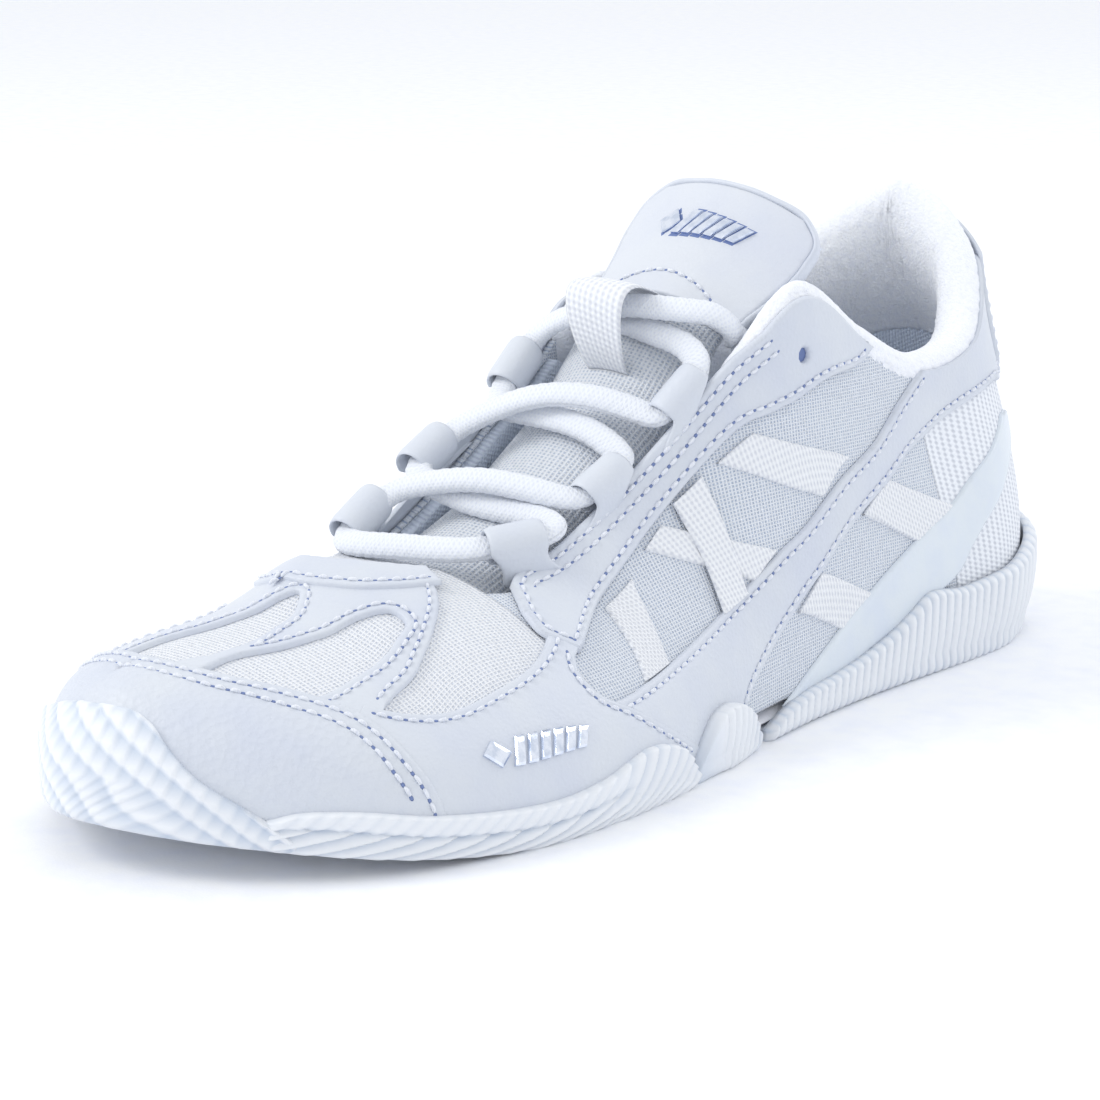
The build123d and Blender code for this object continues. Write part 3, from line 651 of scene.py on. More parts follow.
def smooth(points, scale, step=OUTLINE_STEP):
    """Evenly spaced points on a smooth line through the given ones."""
    run = run_of(points * scale)
    at = np.linspace(0, run[-1], max(3, int(run[-1] / step) + 1))
    if len(points) == 2:
        return points[0] + (points[1:] - points[:1]) / run[-1] * at[:, None]
    return hermite(at, run, points, np.gradient(points, run, axis=0))


def close_loop(edges, scale, hole=False):
    """Points of a closed outline and the number of the edge that each belongs to."""
    points, owner = [], []
    for number, edge in enumerate(edges):
        line = smooth(edge.points, scale)[:-1]
        points.append(line)
        owner += [number] * len(line)
    points, owner = np.concatenate(points), np.array(owner)
    x, y = points[:, 0], points[:, 1]
    area = np.sum(x * np.roll(y, -1) - np.roll(x, -1) * y)
    if (area < 0) != hole:
        points, owner = points[::-1], owner[::-1]
    return points, owner


def inset(chart, loop, distance):
    """The loop moved into its panel by a distance in mm."""
    step = 0.004 / chart.scale * 75
    here = chart.place(loop, np.zeros(len(loop)))
    du = chart.place(loop + [step[0], 0], np.zeros(len(loop))) - here
    dv = chart.place(loop + [0, step[1]], np.zeros(len(loop))) - here
    du, dv = du / step[0], dv / step[1]
    along = np.roll(here, -1, axis=0) - np.roll(here, 1, axis=0)
    inward = unit(np.cross(np.cross(du, dv), along))
    uu, uv, vv = (du * du).sum(1), (du * dv).sum(1), (dv * dv).sum(1)
    pu, pv = (inward * du).sum(1), (inward * dv).sum(1)
    det = uu * vv - uv * uv
    return loop + distance * np.stack([(pu * vv - pv * uv) / det, (pv * uu - pu * uv) / det], -1)


def nearest(points, targets):
    """Distance from each point to the nearest target, far where there is none."""
    if len(targets) == 0:
        return np.full(len(points), 1e3)
    found = np.empty(len(points))
    for k in range(0, len(points), 2000):
        gap = points[k:k + 2000, None] - targets[None]
        found[k:k + 2000] = np.sqrt((gap * gap).sum(-1)).min(1)
    return found


def inside(points, loops):
    """Whether each point is inside an odd number of the loops."""
    odd = np.zeros(len(points), bool)
    for loop in loops:
        a, b = loop, np.roll(loop, -1, axis=0)
        for k in range(0, len(points), 4000):
            x, y = points[k:k + 4000, :1], points[k:k + 4000, 1:]
            cut = (a[:, 1] > y) != (b[:, 1] > y)
            rise = np.where(b[:, 1] == a[:, 1], 1, b[:, 1] - a[:, 1])
            left = x < (b[:, 0] - a[:, 0]) * (y - a[:, 1]) / rise + a[:, 0]
            odd[k:k + 4000] ^= (np.sum(cut & left, axis=1) % 2).astype(bool)
    return odd


# ---------------------------------------------------------------- stitches
PITCH = 2.9
# Place along the thread and its radius there
THREAD_PROFILE = [(-1.05, 0.14), (-0.8, 0.34), (-0.3, 0.42), (0.3, 0.42), (0.8, 0.34), (1.05, 0.14)]


def stitch_templates():
    """Points (along, across, up) and faces of one thread and of one dark dot of painted shade at a needle
    hole.
    """
    sides, hole_sides, end = 6, 8, 1.12
    thread = [(-end, 0, -0.2)]
    for x, r in THREAD_PROFILE:
        arch = 0.26 * (1 - x * x)
        thread += [(x, r * math.cos(k * math.tau / sides), arch + r * math.sin(k * math.tau / sides))
                   for k in range(sides)]
    thread.append((end, 0, -0.2))
    last = len(thread) - 1
    faces = [[0, 1 + (k + 1) % sides, 1 + k] for k in range(sides)]
    faces += turned_over(grid_faces(len(THREAD_PROFILE), sides, closed=True, start=1))
    faces += [[last, last - sides + k, last - sides + (k + 1) % sides] for k in range(sides)]
    # A small dark lens at a needle hole, painting the shade there
    rim = [(0.62 * math.cos(k * math.tau / hole_sides), 0.42 * math.sin(k * math.tau / hole_sides), -0.06)
           for k in range(hole_sides)]
    hole = [(0, 0, 0.16)] + rim + [(0, 0, -0.3)]
    hole_faces = [[0, 1 + k, 1 + (k + 1) % hole_sides] for k in range(hole_sides)]
    hole_faces += [[9, 1 + (k + 1) % hole_sides, 1 + k] for k in range(hole_sides)]
    return (np.array(thread), faces), (np.array(hole), hole_faces)


THREAD, SHADE_DOT = stitch_templates()


def stitching(name, chart, lines, height):
    """Thread along lines of a chart, with dark dots of painted shade at the needle holes."""
    points, faces, materials = [], [], []
    count = 0
    for line in lines:
        low = chart.place(line, np.full(len(line), height))
        up = chart.place(line, np.full(len(line), height + 1.0)) - low
        run = run_of(low)
        number = int(run[-1] / PITCH)
        # The second template is a dark dot of painted shade at each needle hole
        for (template, shape), phase, index in ((THREAD, 0.5, 0), (SHADE_DOT, 0.0, 1)):
            at = (np.arange(number + (index == 1)) + phase) * run[-1] / max(number, 1)
            way = unit(read(at + 0.6, run, low) - read(at - 0.6, run, low))
            across = unit(np.cross(read(at, run, up), way))
            for c, w, a, n in zip(read(at, run, low), way, across, np.cross(way, across)):
                points.append(c + template[:, :1] * w + template[:, 1:2] * a + template[:, 2:] * n)
                faces += [[v + count for v in f] for f in shape]
                materials += [index] * len(shape)
                count += len(template)
    if not points:
        return None
    points = np.concatenate(points)
    # Material 1 is the painted shade of the needle holes
    return mesh_object(name, points, faces, ["thread", "hole"], materials, uv=points[:, :2])


# ---------------------------------------------------------------- panels
LATTICE = 2.0           # mm between points in the middle of a panel
ROUND = 0.7             # radius of a cut edge
GROOVE = 0.16           # how deep thread pulls the leather in
EDGE_RINGS = (0.2, 0.5, 0.95)           # distances in from the edge of rings of mesh points
SEAM_RINGS = (-0.8, -0.4, 0, 0.4, 0.8)  # and their distances from each stitch row


def seam_lines(chart, loop, owner, edges, outline):
    """Stitch rows of one loop, cut where they would leave the panel."""
    lines = []
    for number, edge in enumerate(edges):
        for distance in edge.rows:
            row = inset(chart, loop, distance)
            at = chart.place(row, np.zeros(len(row)))
            good = (owner == number) & (nearest(at, outline) > distance * 0.93)
            picked = np.flatnonzero(good)
            if len(picked) < 4:
                continue
            breaks = np.flatnonzero(np.diff(picked) > 3) + 1
            parts = np.split(picked, breaks)
            if len(parts) > 1 and picked[0] == 0 and picked[-1] == len(loop) - 1:
                parts = [np.concatenate([parts[-1], parts[0]])] + parts[1:-1]
            lines += [row[part] for part in parts if len(part) > 5]
    return lines


def panel(name, chart, edges, layer, material, holes=(), extra=(), lattice=LATTICE):
    """Leather or cloth cut to an outline: rounded edges, grooves under its stitches, a flat back.

    Returns the panel and, where it is stitched, its stitching."""
    loops = [close_loop(edges, chart.scale)] + [close_loop(h, chart.scale, hole=True) for h in holes]
    kinds = [edges] + list(holes)
    places = [chart.place(loop, np.zeros(len(loop))) for loop, _ in loops]
    outline = np.concatenate(places)
    cut = np.concatenate([place[[not kind[o].raw for o in owner]]
                          for place, (_, owner), kind in zip(places, loops, kinds)])
    seams = list(extra)
    for (loop, owner), kind in zip(loops, kinds):
        seams += seam_lines(chart, loop, owner, kind, outline)
    rows = {row for kind in kinds for edge in kind for row in edge.rows}
    depths = {*EDGE_RINGS, *(row + off for row in rows for off in SEAM_RINGS)}
    rings = [inset(chart, loop, d) for loop, _ in loops for d in sorted(depths)]
    rings += list(extra)
    flats = [loop * chart.scale for loop, _ in loops]
    low, high = flats[0].min(0), flats[0].max(0)
    u, v = np.meshgrid(np.arange(low[0], high[0], lattice), np.arange(low[1], high[1], lattice * 0.87))
    u = u + (np.arange(u.shape[0]) % 2)[:, None] * lattice / 2
    grid = np.stack([u.ravel(), v.ravel()], -1) / chart.scale
    ring_points = np.concatenate(rings)
    ring_points = ring_points[inside(ring_points * chart.scale, flats)]
    grid = grid[inside(grid * chart.scale, flats)]
    ring_place = chart.place(ring_points, np.zeros(len(ring_points)))
    ring_points = ring_points[nearest(ring_place, outline) > 0.17]
    grid = grid[nearest(chart.place(grid, np.zeros(len(grid))), outline) > max(depths) + 0.6]
    free = np.concatenate([ring_points, grid])
    _, keep = np.unique(np.round(free * chart.scale / 0.33), axis=0, return_index=True)
    free = free[np.sort(keep)]
    border = np.concatenate([loop for loop, _ in loops])
    links, start = [], 0
    for loop, _ in loops:
        links += [(start + k, start + (k + 1) % len(loop)) for k in range(len(loop))]
        start += len(loop)
    points = np.concatenate([border, free])
    made = delaunay_2d_cdt([Vector(p) for p in points * chart.scale], links, [], 0, 1e-5)
    flat = np.array([tuple(p) for p in made[0]])
    points = flat / chart.scale
    triangles = np.array(made[2])
    middle = flat[triangles].mean(1)
    triangles = triangles[inside(middle, flats)]
    a, b, c = (flat[triangles[:, k]] for k in range(3))
    turned = (b - a)[:, 0] * (c - a)[:, 1] - (b - a)[:, 1] * (c - a)[:, 0] < 0
    triangles[turned] = triangles[turned][:, ::-1]
    used, triangles = np.unique(triangles, return_inverse=True)
    triangles = triangles.reshape(-1, 3)
    points = points[used]
    place = chart.place(points, np.zeros(len(points)))
    to_cut = nearest(place, cut)
    to_seam = nearest(place, np.concatenate([chart.place(s, np.zeros(len(s))) for s in seams])
                      if seams else [])
    drop = (layer[1] - layer[0]) * 0.85
    bevel = 1 - np.clip(to_cut / ROUND, 0, 1)
    height = layer[1] - drop * (1 - np.sqrt(1 - bevel * bevel))
    height -= GROOVE * np.exp(-(to_seam / 0.6) ** 2)
    height += 0.10 * np.sin(points[:, 0] * chart.scale[0] / 9 + 1.3) * np.sin(
        points[:, 1] * chart.scale[1] / 7) * np.clip(to_cut / 4, 0, 1)
    top = chart.place(points, height)
    under = chart.place(points, np.full(len(points), layer[0]))
    count = len(points)
    faces = triangles.tolist() + (triangles[:, ::-1] + count).tolist()
    sides = np.concatenate([triangles[:, [0, 1]], triangles[:, [1, 2]], triangles[:, [2, 0]]])
    known = set(map(tuple, sides.tolist()))
    faces += [[b, a, a + count, b + count] for a, b in sides.tolist() if (b, a) not in known]
    if chart.mirrored:
        faces = turned_over(faces)
    uv = np.concatenate([points * chart.scale] * 2)
    body = mesh_object(name, np.concatenate([top, under]), faces, [material], uv=uv)
    thread = stitching(name + "_stitching", chart, seams, layer[1] - GROOVE + 0.05)
    return [body] + ([thread] if thread else [])


def sewn(name, chart, edges, layer, body, node, material="leather", **more):
    """A panel and its stitching, put on a body."""
    pieces = panel(name, chart, edges, layer, material, **more)
    attach(pieces[0], body, "film" if material == "film" else "leather", node)
    for thread in pieces[1:]:
        attach(thread, body, "lace")


# ---------------------------------------------------------------- front of the upper
# Heights of the under and upper face over the shell
MESH = (-1.4, 0.0)
VAMP_MESH = (-1.4, 0.08)
LINING = (-3.9, -2.85)
# Distances of stitch rows from the edge
ONE_ROW = (2.0,)
TWO_ROWS = (2.2, 4.8)


WINGS = 5.0             # mm by which its sides run further back than its middle


def vamp_sheet(name, front, rear, layer, material, node, margin=1.5):
    """Cloth across the vamp from one y to another, longer at its two sides."""
    along, share = np.meshgrid(np.linspace(0, 1, 110), np.linspace(0, 1, 130), indexing="ij")
    wings = WINGS * np.clip(4 * np.abs(share - 0.5) - 1, 0, 1)
    y = front + (rear + wings - front) * along
    low, high = (np.interp(y, VAMP_Y, VAMP_ENDS[:, k]) for k in range(2))
    a = low + margin + (high - low - 2 * margin) * share
    points = np.stack([a, y], -1)
    outer = on_vamp(points, np.full(a.shape, layer[1]))
    inner = on_vamp(points, np.full(a.shape, layer[0]))
    sheet = grid_slab(name, outer, inner, material, uv=points[..., ::-1], flipped=True)
    attach(sheet, "flex", "mesh" if material == "vamp_mesh" else "lining", node)


def sole_line(from_y, to_y, side, margin=0.8):
    """Foot of the upper along the sole, on the chart of the vamp."""
    y = np.linspace(from_y, to_y, 24)
    ends = np.interp(y, VAMP_Y, VAMP_ENDS[:, 1 if side > 0 else 0])
    return list(zip(ends - side * margin, y))


TOE_CAP = [
    Edge([sole_line(-92.5, -93, 1)[0], (65.5, -93.6), (62.3, -94.6), (58.2, -95.7), (53.4, -97),
          (46.8, -98.2), (41.4, -99.7), (36.5, -102), (31.2, -105.2), (23.9, -109.4), (17.7, -112.6),
          (10, -115), (2, -116), (-7, -114.5), (-15, -110.8), (-22, -106.5), (-30, -101.5),
          (-38, -97), (-45, -93.5), sole_line(-92, -93, -1)[0]], TWO_ROWS),
    Edge(sole_line(-92, -131, -1), raw=True),
    Edge([sole_line(-131, -132, -1)[0], (-12, -133), (0, -133), sole_line(-131, -132, 1)[0]], raw=True),
    Edge(sole_line(-131, -92.5, 1), raw=True)]

OVERLAY = [
    Edge([(17, -57.5), (21.5, -59), (25.5, -61.5), (30, -65.5), (34.5, -71.5), (38.5, -80), (39.5, -89),
          (41.5, -94.5)], ONE_ROW),
    Edge([(41.5, -94.5), (47, -103), (40, -110), (30, -115), (15, -119.5), (-12, -119.5), (-27, -113),
          (-38, -104), (-44, -96), (-36, -90)], raw=True),
    Edge([(-36, -90), (-29, -85), (-26, -79), (-22, -71), (-18, -64), (-20, -55)], ONE_ROW),
    Edge([(-20, -55), (-10, -62), (0, -68), (8, -65), (17, -57.5)], raw=True)]
LEFT_WINDOW = [
    Edge([(-6, -115), (-4.5, -108), (-1, -100), (0.5, -91), (3.5, -82), (5.8, -79.5), (7.8, -83),
          (9.5, -91), (11.5, -101), (10, -110)], ONE_ROW),
    Edge([(10, -110), (4, -119), (-6, -115)], raw=True)]
CENTRE_WINDOW = [
    Edge([(13, -114), (13.8, -106.5), (16.6, -97.5), (18.2, -88), (21.8, -78), (25, -73), (28.5, -73.2),
          (31, -79), (31.2, -85), (32.3, -93.5), (33.4, -101), (32.8, -106)], ONE_ROW),
    Edge([(32.8, -106), (26, -112), (13, -114)], raw=True)]
MEDIAL_WINDOW = [
    Edge([(-16, -112), (-17.5, -105), (-17, -96), (-16, -86), (-17, -81), (-20, -82), (-23, -89),
          (-26, -97), (-26.5, -104)], ONE_ROW),
    Edge([(-26.5, -104), (-22, -112), (-16, -112)], raw=True)]
THROAT_BAND = [
    Edge([(-25, -57), (-20.5, -64), (-14, -72), (-6, -77.5), (4, -78), (11.5, -75.5), (17.5, -71.5),
          (21.5, -65.5), (22.5, -58)], ONE_ROW),
    Edge([(22.5, -58), (15, -55)]),
    Edge([(15, -55), (12.5, -60), (8, -65), (2, -69), (-6, -68.5), (-13.5, -63), (-19, -55)]),
    Edge([(-19, -55), (-25, -57)])]


def make_front():
    vamp_sheet("vamp_mesh_cloth", -133, -50, VAMP_MESH, "vamp_mesh", "vamp_mesh")
    vamp_sheet("vamp_lining_cloth", -129, -55, LINING, "lining", "vamp_lining", 4.0)
    sewn("toe_cap_leather", VAMP, TOE_CAP, (0.3, 1.9), "flex", "toe_cap", "pebbled")
    sewn("vamp_overlay_leather", VAMP, OVERLAY, (0.1, 1.34), "flex", "vamp_overlay",
         holes=[LEFT_WINDOW, CENTRE_WINDOW, MEDIAL_WINDOW])
    sewn("throat_band_leather", VAMP, THROAT_BAND, (1.1, 2.2), "flex", "throat_band")


# ---------------------------------------------------------------- sides of the upper
SIDE_PANEL = [
    Edge([(0.21, 0.02), (0.205, 0.2), (0.2, 0.36), (0.2, 0.46), (0.217, 0.53)], raw=True),
    Edge([(0.217, 0.53), (0.227, 0.492), (0.242, 0.462), (0.291, 0.452), (0.338, 0.472), (0.372, 0.56),
          (0.388, 0.635)], ONE_ROW),
    Edge([(0.388, 0.635), (0.392, 0.56), (0.38, 0.5)], raw=True),
    Edge([(0.38, 0.5), (0.371, 0.443), (0.372, 0.357), (0.386, 0.312), (0.411, 0.205), (0.443, 0.077),
          (0.46, 0.0)], ONE_ROW),
    Edge([(0.46, 0.0), (0.33, 0.0), (0.21, 0.02)], raw=True)]
MEDIAL_PANEL = [
    Edge([(0.168, 0.02), (0.165, 0.2), (0.16, 0.36), (0.175, 0.44), (0.19, 0.47)], raw=True),
    Edge([(0.19, 0.47), (0.215, 0.44), (0.26, 0.425), (0.3, 0.44), (0.34, 0.478), (0.372, 0.56),
          (0.388, 0.635)], ONE_ROW)] + SIDE_PANEL[2:4] + [
    Edge([(0.46, 0.0), (0.33, 0.0), (0.168, 0.02)], raw=True)]
EYESTAY = [
    Edge([(0.388, 0.52), (0.418, 0.618), (0.45, 0.705), (0.498, 0.795), (0.535, 0.84), (0.571, 0.853),
          (0.606, 0.835), (0.635, 0.785), (0.659, 0.758), (0.685, 0.768), (0.711, 0.815),
          (0.733, 0.885), (0.748, 0.97)], ONE_ROW),
    Edge([(0.748, 0.97), (0.7, 0.985), (0.64, 0.99)]),
    Edge([(0.64, 0.99), (0.615, 1.02), (0.58, 1.03), (0.55, 1.03), (0.52, 1.02), (0.49, 1.0),
          (0.46, 0.965), (0.43, 0.905), (0.41, 0.84)], TWO_ROWS),
    Edge([(0.41, 0.84), (0.396, 0.76), (0.381, 0.66), (0.376, 0.59), (0.388, 0.52)], ONE_ROW)]
STRAP = [
    Edge([(0.40, 0.03), (0.376, 0.18), (0.37, 0.31), (0.384, 0.335)], raw=True),
    Edge([(0.384, 0.335), (0.43, 0.385), (0.475, 0.422), (0.545, 0.453), (0.6, 0.457), (0.64, 0.466),
          (0.69, 0.527), (0.724, 0.612), (0.748, 0.7), (0.776, 0.84), (0.80, 0.985)], ONE_ROW),
    Edge([(0.80, 0.985), (0.86, 0.985), (0.935, 0.965), (0.95, 0.8), (0.935, 0.655)], raw=True),
    Edge([(0.935, 0.655), (0.917, 0.66), (0.89, 0.735), (0.864, 0.79), (0.842, 0.805), (0.822, 0.79),
          (0.798, 0.735), (0.775, 0.66), (0.753, 0.578), (0.728, 0.5), (0.701, 0.43), (0.654, 0.343),
          (0.606, 0.285), (0.555, 0.2), (0.53, 0.13), (0.513, 0.02)], ONE_ROW),
    Edge([(0.513, 0.02), (0.45, 0.0), (0.40, 0.03)], raw=True)]
FILM = [
    Edge([(0.575, 0.0), (0.61, 0.075), (0.651, 0.145), (0.695, 0.215), (0.728, 0.29), (0.759, 0.365),
          (0.785, 0.43), (0.812, 0.497), (0.835, 0.56), (0.865, 0.605), (0.895, 0.62)]),
    Edge([(0.895, 0.62), (0.915, 0.56), (0.91, 0.52)]),
    Edge([(0.91, 0.52), (0.878, 0.478), (0.844, 0.41), (0.82, 0.33), (0.8, 0.25), (0.775, 0.19),
          (0.72, 0.1), (0.66, 0.03), (0.63, 0.0)]),
    Edge([(0.63, 0.0), (0.575, 0.0)], raw=True)]
BANDS = {       # two woven edges from end to end, and the layer
    "upper": ([(0.614, 0.787), (0.631, 0.718), (0.651, 0.65), (0.674, 0.598), (0.698, 0.573)],
              [(0.659, 0.495), (0.634, 0.568), (0.614, 0.645), (0.597, 0.728), (0.583, 0.815)],
              (0.0, 0.8)),
    "middle": ([(0.534, 0.815), (0.546, 0.733), (0.561, 0.645), (0.578, 0.557), (0.599, 0.47)],
               [(0.57, 0.45), (0.554, 0.542), (0.538, 0.625), (0.526, 0.703), (0.515, 0.79)],
               (0.0, 0.8)),
    "crossing": ([(0.571, 0.83), (0.567, 0.64), (0.558, 0.44)],
                 [(0.53, 0.44), (0.541, 0.64), (0.547, 0.84)], (0.9, 1.6)),
    "front": ([(0.493, 0.74), (0.475, 0.57), (0.456, 0.41)],
              [(0.42, 0.38), (0.438, 0.53), (0.455, 0.69)], (0.0, 0.8)),
    "rear": ([(0.742, 0.545), (0.76, 0.532), (0.777, 0.522), (0.793, 0.508), (0.812, 0.48)],
             [(0.76, 0.35), (0.745, 0.372), (0.731, 0.39), (0.717, 0.403), (0.70, 0.417)], (0.0, 0.8)),
    "low": ([(0.64, 0.32), (0.656, 0.283), (0.668, 0.255), (0.68, 0.23), (0.695, 0.205)],
            [(0.656, 0.135), (0.643, 0.168), (0.632, 0.195), (0.621, 0.225), (0.605, 0.262)],
            (0.0, 0.8)),
}
EYELET = (0.67, 0.85)
EYELET_SCALE = (300, 88)        # mm per unit of s and t there
QUARTER_TOP = [(0.3, 0.82), (0.37, 0.8), (0.42, 0.83), (0.435, 0.85), (0.517, 0.95), (0.56, 0.97),
               (1.0, 0.97)]
LINING_TOP = [(0.3, 0.81), (0.37, 0.79), (0.42, 0.82), (0.435, 0.84), (0.517, 0.94), (0.59, 0.955),
              (0.64, 0.69), (1.0, 0.69)]
SIDE_FRONT, SIDE_END = -57.2, 0.8       # y and s between which the side cloths lie


def side_sheet(name, side, layer, material, node, top_line, low):
    """Side wall cloth from the foot line t = low up to its top line."""
    sign = SIGN[side]
    u, v = np.meshgrid(np.linspace(0, 1, 150), np.linspace(0, 1, 60), indexing="ij")
    s = 0.35 + (SIDE_END - 0.35) * u
    for _ in range(4):
        top = np.interp(s, *np.array(top_line).T)
        t = low + (top - low) * v
        start = find_s(SIDE_FRONT, t, sign) * sign
        s = start + (SIDE_END - start) * u
    outer, inner = raised(s * sign, t, layer[1]), raised(s * sign, t, layer[0])
    rise = np.linalg.norm(np.diff(outer, axis=1), axis=-1).cumsum(1)
    uv = np.stack([outer[..., 1], np.pad(rise, ((0, 0), (1, 0)))], -1)
    sheet = grid_slab(name, outer, inner, material, uv=uv, flipped=side == "medial")
    attach(sheet, "flex", "mesh" if material == "side_mesh" else "lining", node)


def band_edges(first, second):
    """Webbing has two woven edges and two ends that run under the leather."""
    return [Edge(first), Edge([first[-1], second[0]], raw=True), Edge(second),
            Edge([second[-1], first[0]], raw=True)]


def round_eyelet(radius, turns):
    """Points of a circle round the eyelet, in s and t."""
    return np.stack([EYELET[0] + radius / EYELET_SCALE[0] * np.cos(turns),
                     EYELET[1] + radius / EYELET_SCALE[1] * np.sin(turns)], -1)


def eyelet_shade_cup(side):
    """Dark cup of painted shade, seen through the punched eyelet."""
    rings = [(0.05, 0.35), (1.9, 0.35), (2.3, 0.25), (2.3, 0.08), (0.05, 0.08)]
    points = np.array([SIDE[side].place(round_eyelet(radius, circle(20)), np.full(20, height))
                       for radius, height in rings])
    cup = tube("eyelet_painted_shade_" + side, points, "hole", flipped=side == "lateral")
    attach(cup, "rearfoot", "lining")


def make_side(side):
    """Cloth, leather, film and webbing of one side of the upper."""
    chart = SIDE[side]
    # Dark cup of painted shade behind the eyelet
    eyelet_shade_cup(side)
    side_sheet("quarter_mesh_cloth_" + side, side, MESH, "side_mesh", "quarter_mesh_" + side,
               QUARTER_TOP, 0.02)
    side_sheet("quarter_lining_cloth_" + side, side, (LINING[0], -1.5), "lining",
               "quarter_lining_" + side, LINING_TOP, 0.04)
    outline = SIDE_PANEL if side == "lateral" else MEDIAL_PANEL
    eyelet = [Edge(round_eyelet(1.6, np.linspace(0, 2 * np.pi, 17)))]
    sewn("side_panel_leather_" + side, chart, outline, (0.1, 1.5), "flex", "side_panel_" + side)
    sewn("eyestay_leather_" + side, chart, EYESTAY, (0.3, 1.75), "flex", "eyestay_" + side,
         holes=[eyelet])
    sewn("strap_leather_" + side, chart, STRAP, (0.1, 1.2), "flex", "diagonal_strap_" + side)
    sewn("film_blade_" + side, chart, FILM, (0.05, 1.0), "rearfoot", "heel_film_" + side, "film")
    bands = [panel(f"{key}_band_{side}", chart, band_edges(first, second), layer, "webbing",
                   lattice=1.4)[0] for key, (first, second, layer) in BANDS.items()]
    attach(joined("woven_bands_" + side, bands), "flex", "webbing", "webbing_bands_" + side)


# ---------------------------------------------------------------- heel
COLLAR_FRONT = 0.6      # s at which the roll begins
COLLAR_DEPTH = 9
COLLAR_TAPER = 0.26     # stretch of s over which it grows to its full depth
COLLAR_PROFILE = [      # t and share of the roll's depth, from the outer edge over to the inside
    (0.93, -0.02), (0.965, 0.03), (1.0, 0.02), (1.03, -0.12), (1.05, -0.34), (1.055, -0.6),
    (1.035, -0.85), (1.0, -1.02), (0.95, -1.1), (0.9, -1.08), (0.85, -1.0), (0.8, -0.88),
    (0.74, -0.7), (0.69, -0.52), (0.66, -0.42), (0.7, -0.36), (0.8, -0.3), (0.88, -0.2)]


def closed_smooth(points, count):
    """Even points on a smooth closed line."""
    ring = np.array(points * 3, float)
    run = run_of(ring * [75, COLLAR_DEPTH])
    size = len(points)
    at = np.linspace(run[size], run[2 * size], count, endpoint=False)
    return hermite(at, run, ring, np.gradient(ring, run, axis=0))


def make_collar():
    """The padded collar: one terry roll round the opening, with its lining down the inside."""
    around, ring = 340, closed_smooth(COLLAR_PROFILE, 72)
    s = np.linspace(COLLAR_FRONT, 2 - COLLAR_FRONT, around)[:, None]
    from_end = np.minimum(s - COLLAR_FRONT, 2 - COLLAR_FRONT - s)
    grown = np.clip(from_end / COLLAR_TAPER, 0, 1)
    depth = COLLAR_DEPTH * (0.42 + 0.58 * grown * grown * (3 - 2 * grown))
    tip = np.sqrt(np.clip(from_end / 0.012, 0.02, 1))
    t, h = ring[None, :, 0], ring[None, :, 1]
    lift = 0.05 * np.exp(-((s - 1.2) / 0.12) ** 2)
    t = 0.97 + (t - 0.97) * (0.45 + 0.55 * grown) * tip + lift * np.clip((t - 0.8) / 0.2, 0, 1)
    h = h * depth * tip
    rng = np.random.default_rng(7)
    fuzz = rng.normal(0, 0.10, (around, len(ring)))
    wave = 0.35 * np.sin(s * 47) * np.sin(t * 19)
    collar = tube("collar_padding_terry", raised(s, t, h + fuzz + wave), "terry", flipped=True)
    attach(collar, "rearfoot", "terry", "collar_padding", "collar_lining", "collar_rim")


HEEL_TAB = [
    Edge([(0.94, 0.62), (0.965, 0.605), (1.0, 0.6), (1.035, 0.605), (1.06, 0.62), (1.072, 0.67),
          (1.078, 0.8), (1.075, 0.99)], ONE_ROW),
    Edge([(1.075, 0.99), (1.0, 0.99), (0.925, 0.99)], raw=True),
    Edge([(0.925, 0.99), (0.922, 0.8), (0.928, 0.67), (0.94, 0.62)], ONE_ROW)]


def heel_sheet(name, low, high, start, layer, material, slot, node):
    """Cloth round the heel between two values of t."""
    s, t = np.meshgrid(np.linspace(start, 2 - start, 150), np.linspace(low, high, 60), indexing="ij")
    outer, inner = raised(s, t, layer[1]), raised(s, t, layer[0])
    uv = np.stack([s * 300, outer[..., 2]], -1)
    attach(grid_slab(name, outer, inner, material, uv=uv), "rearfoot", slot, node)


def make_heel():
    heel_sheet("rear_mesh_cloth", 0.02, 0.97, 0.797, (-1.2, 0.07), "rear_mesh", "mesh",
               "rear_quarter_mesh")
    heel_sheet("heel_lining_cloth", 0.04, 0.72, 0.803, LINING, "lining", "lining", "heel_lining")
    sewn("heel_tab_leather", SIDE["lateral"], HEEL_TAB, (1.3, 2.3), "rearfoot", "heel_tab")
    make_collar()


# ---------------------------------------------------------------- sole
FOREFOOT_TOP = [(0.12, 0.02), (0.14, 0.07), (0.162, 0.088), (0.219, 0.075), (0.273, 0.07), (0.32, 0.072),
                (0.345, 0.092), (0.362, 0.118), (0.385, 0.147), (0.4, 0.142), (0.415, 0.11), (0.43, 0.03),
                (0.442, -0.06)]
LUG_TOP = [(0.436, -0.05), (0.45, 0.075), (0.462, 0.13), (0.474, 0.157), (0.49, 0.16), (0.503, 0.125),
           (0.518, 0.04), (0.53, -0.05)]
HEEL_TOP = [(0.545, -0.05), (0.57, 0.0), (0.595, 0.022), (0.641, 0.037), (0.682, 0.06), (0.714, 0.1),
            (0.736, 0.145), (0.755, 0.188), (0.801, 0.2), (0.84, 0.215), (0.9, 0.22), (1.0, 0.235)]
BUMPER_TOP = [(-0.16, -0.03), (-0.14, 0.1), (-0.1, 0.27), (-0.055, 0.4), (-0.025, 0.48), (-0.005, 0.54),
              (0.03, 0.56), (0.05, 0.53), (0.062, 0.45), (0.072, 0.31), (0.086, 0.175), (0.108, 0.07),
              (0.138, -0.05)]
GROUND = -0.098          # t of the walls' foot
RUBBER_IN, RUBBER_OUT = 1.4, 3.6
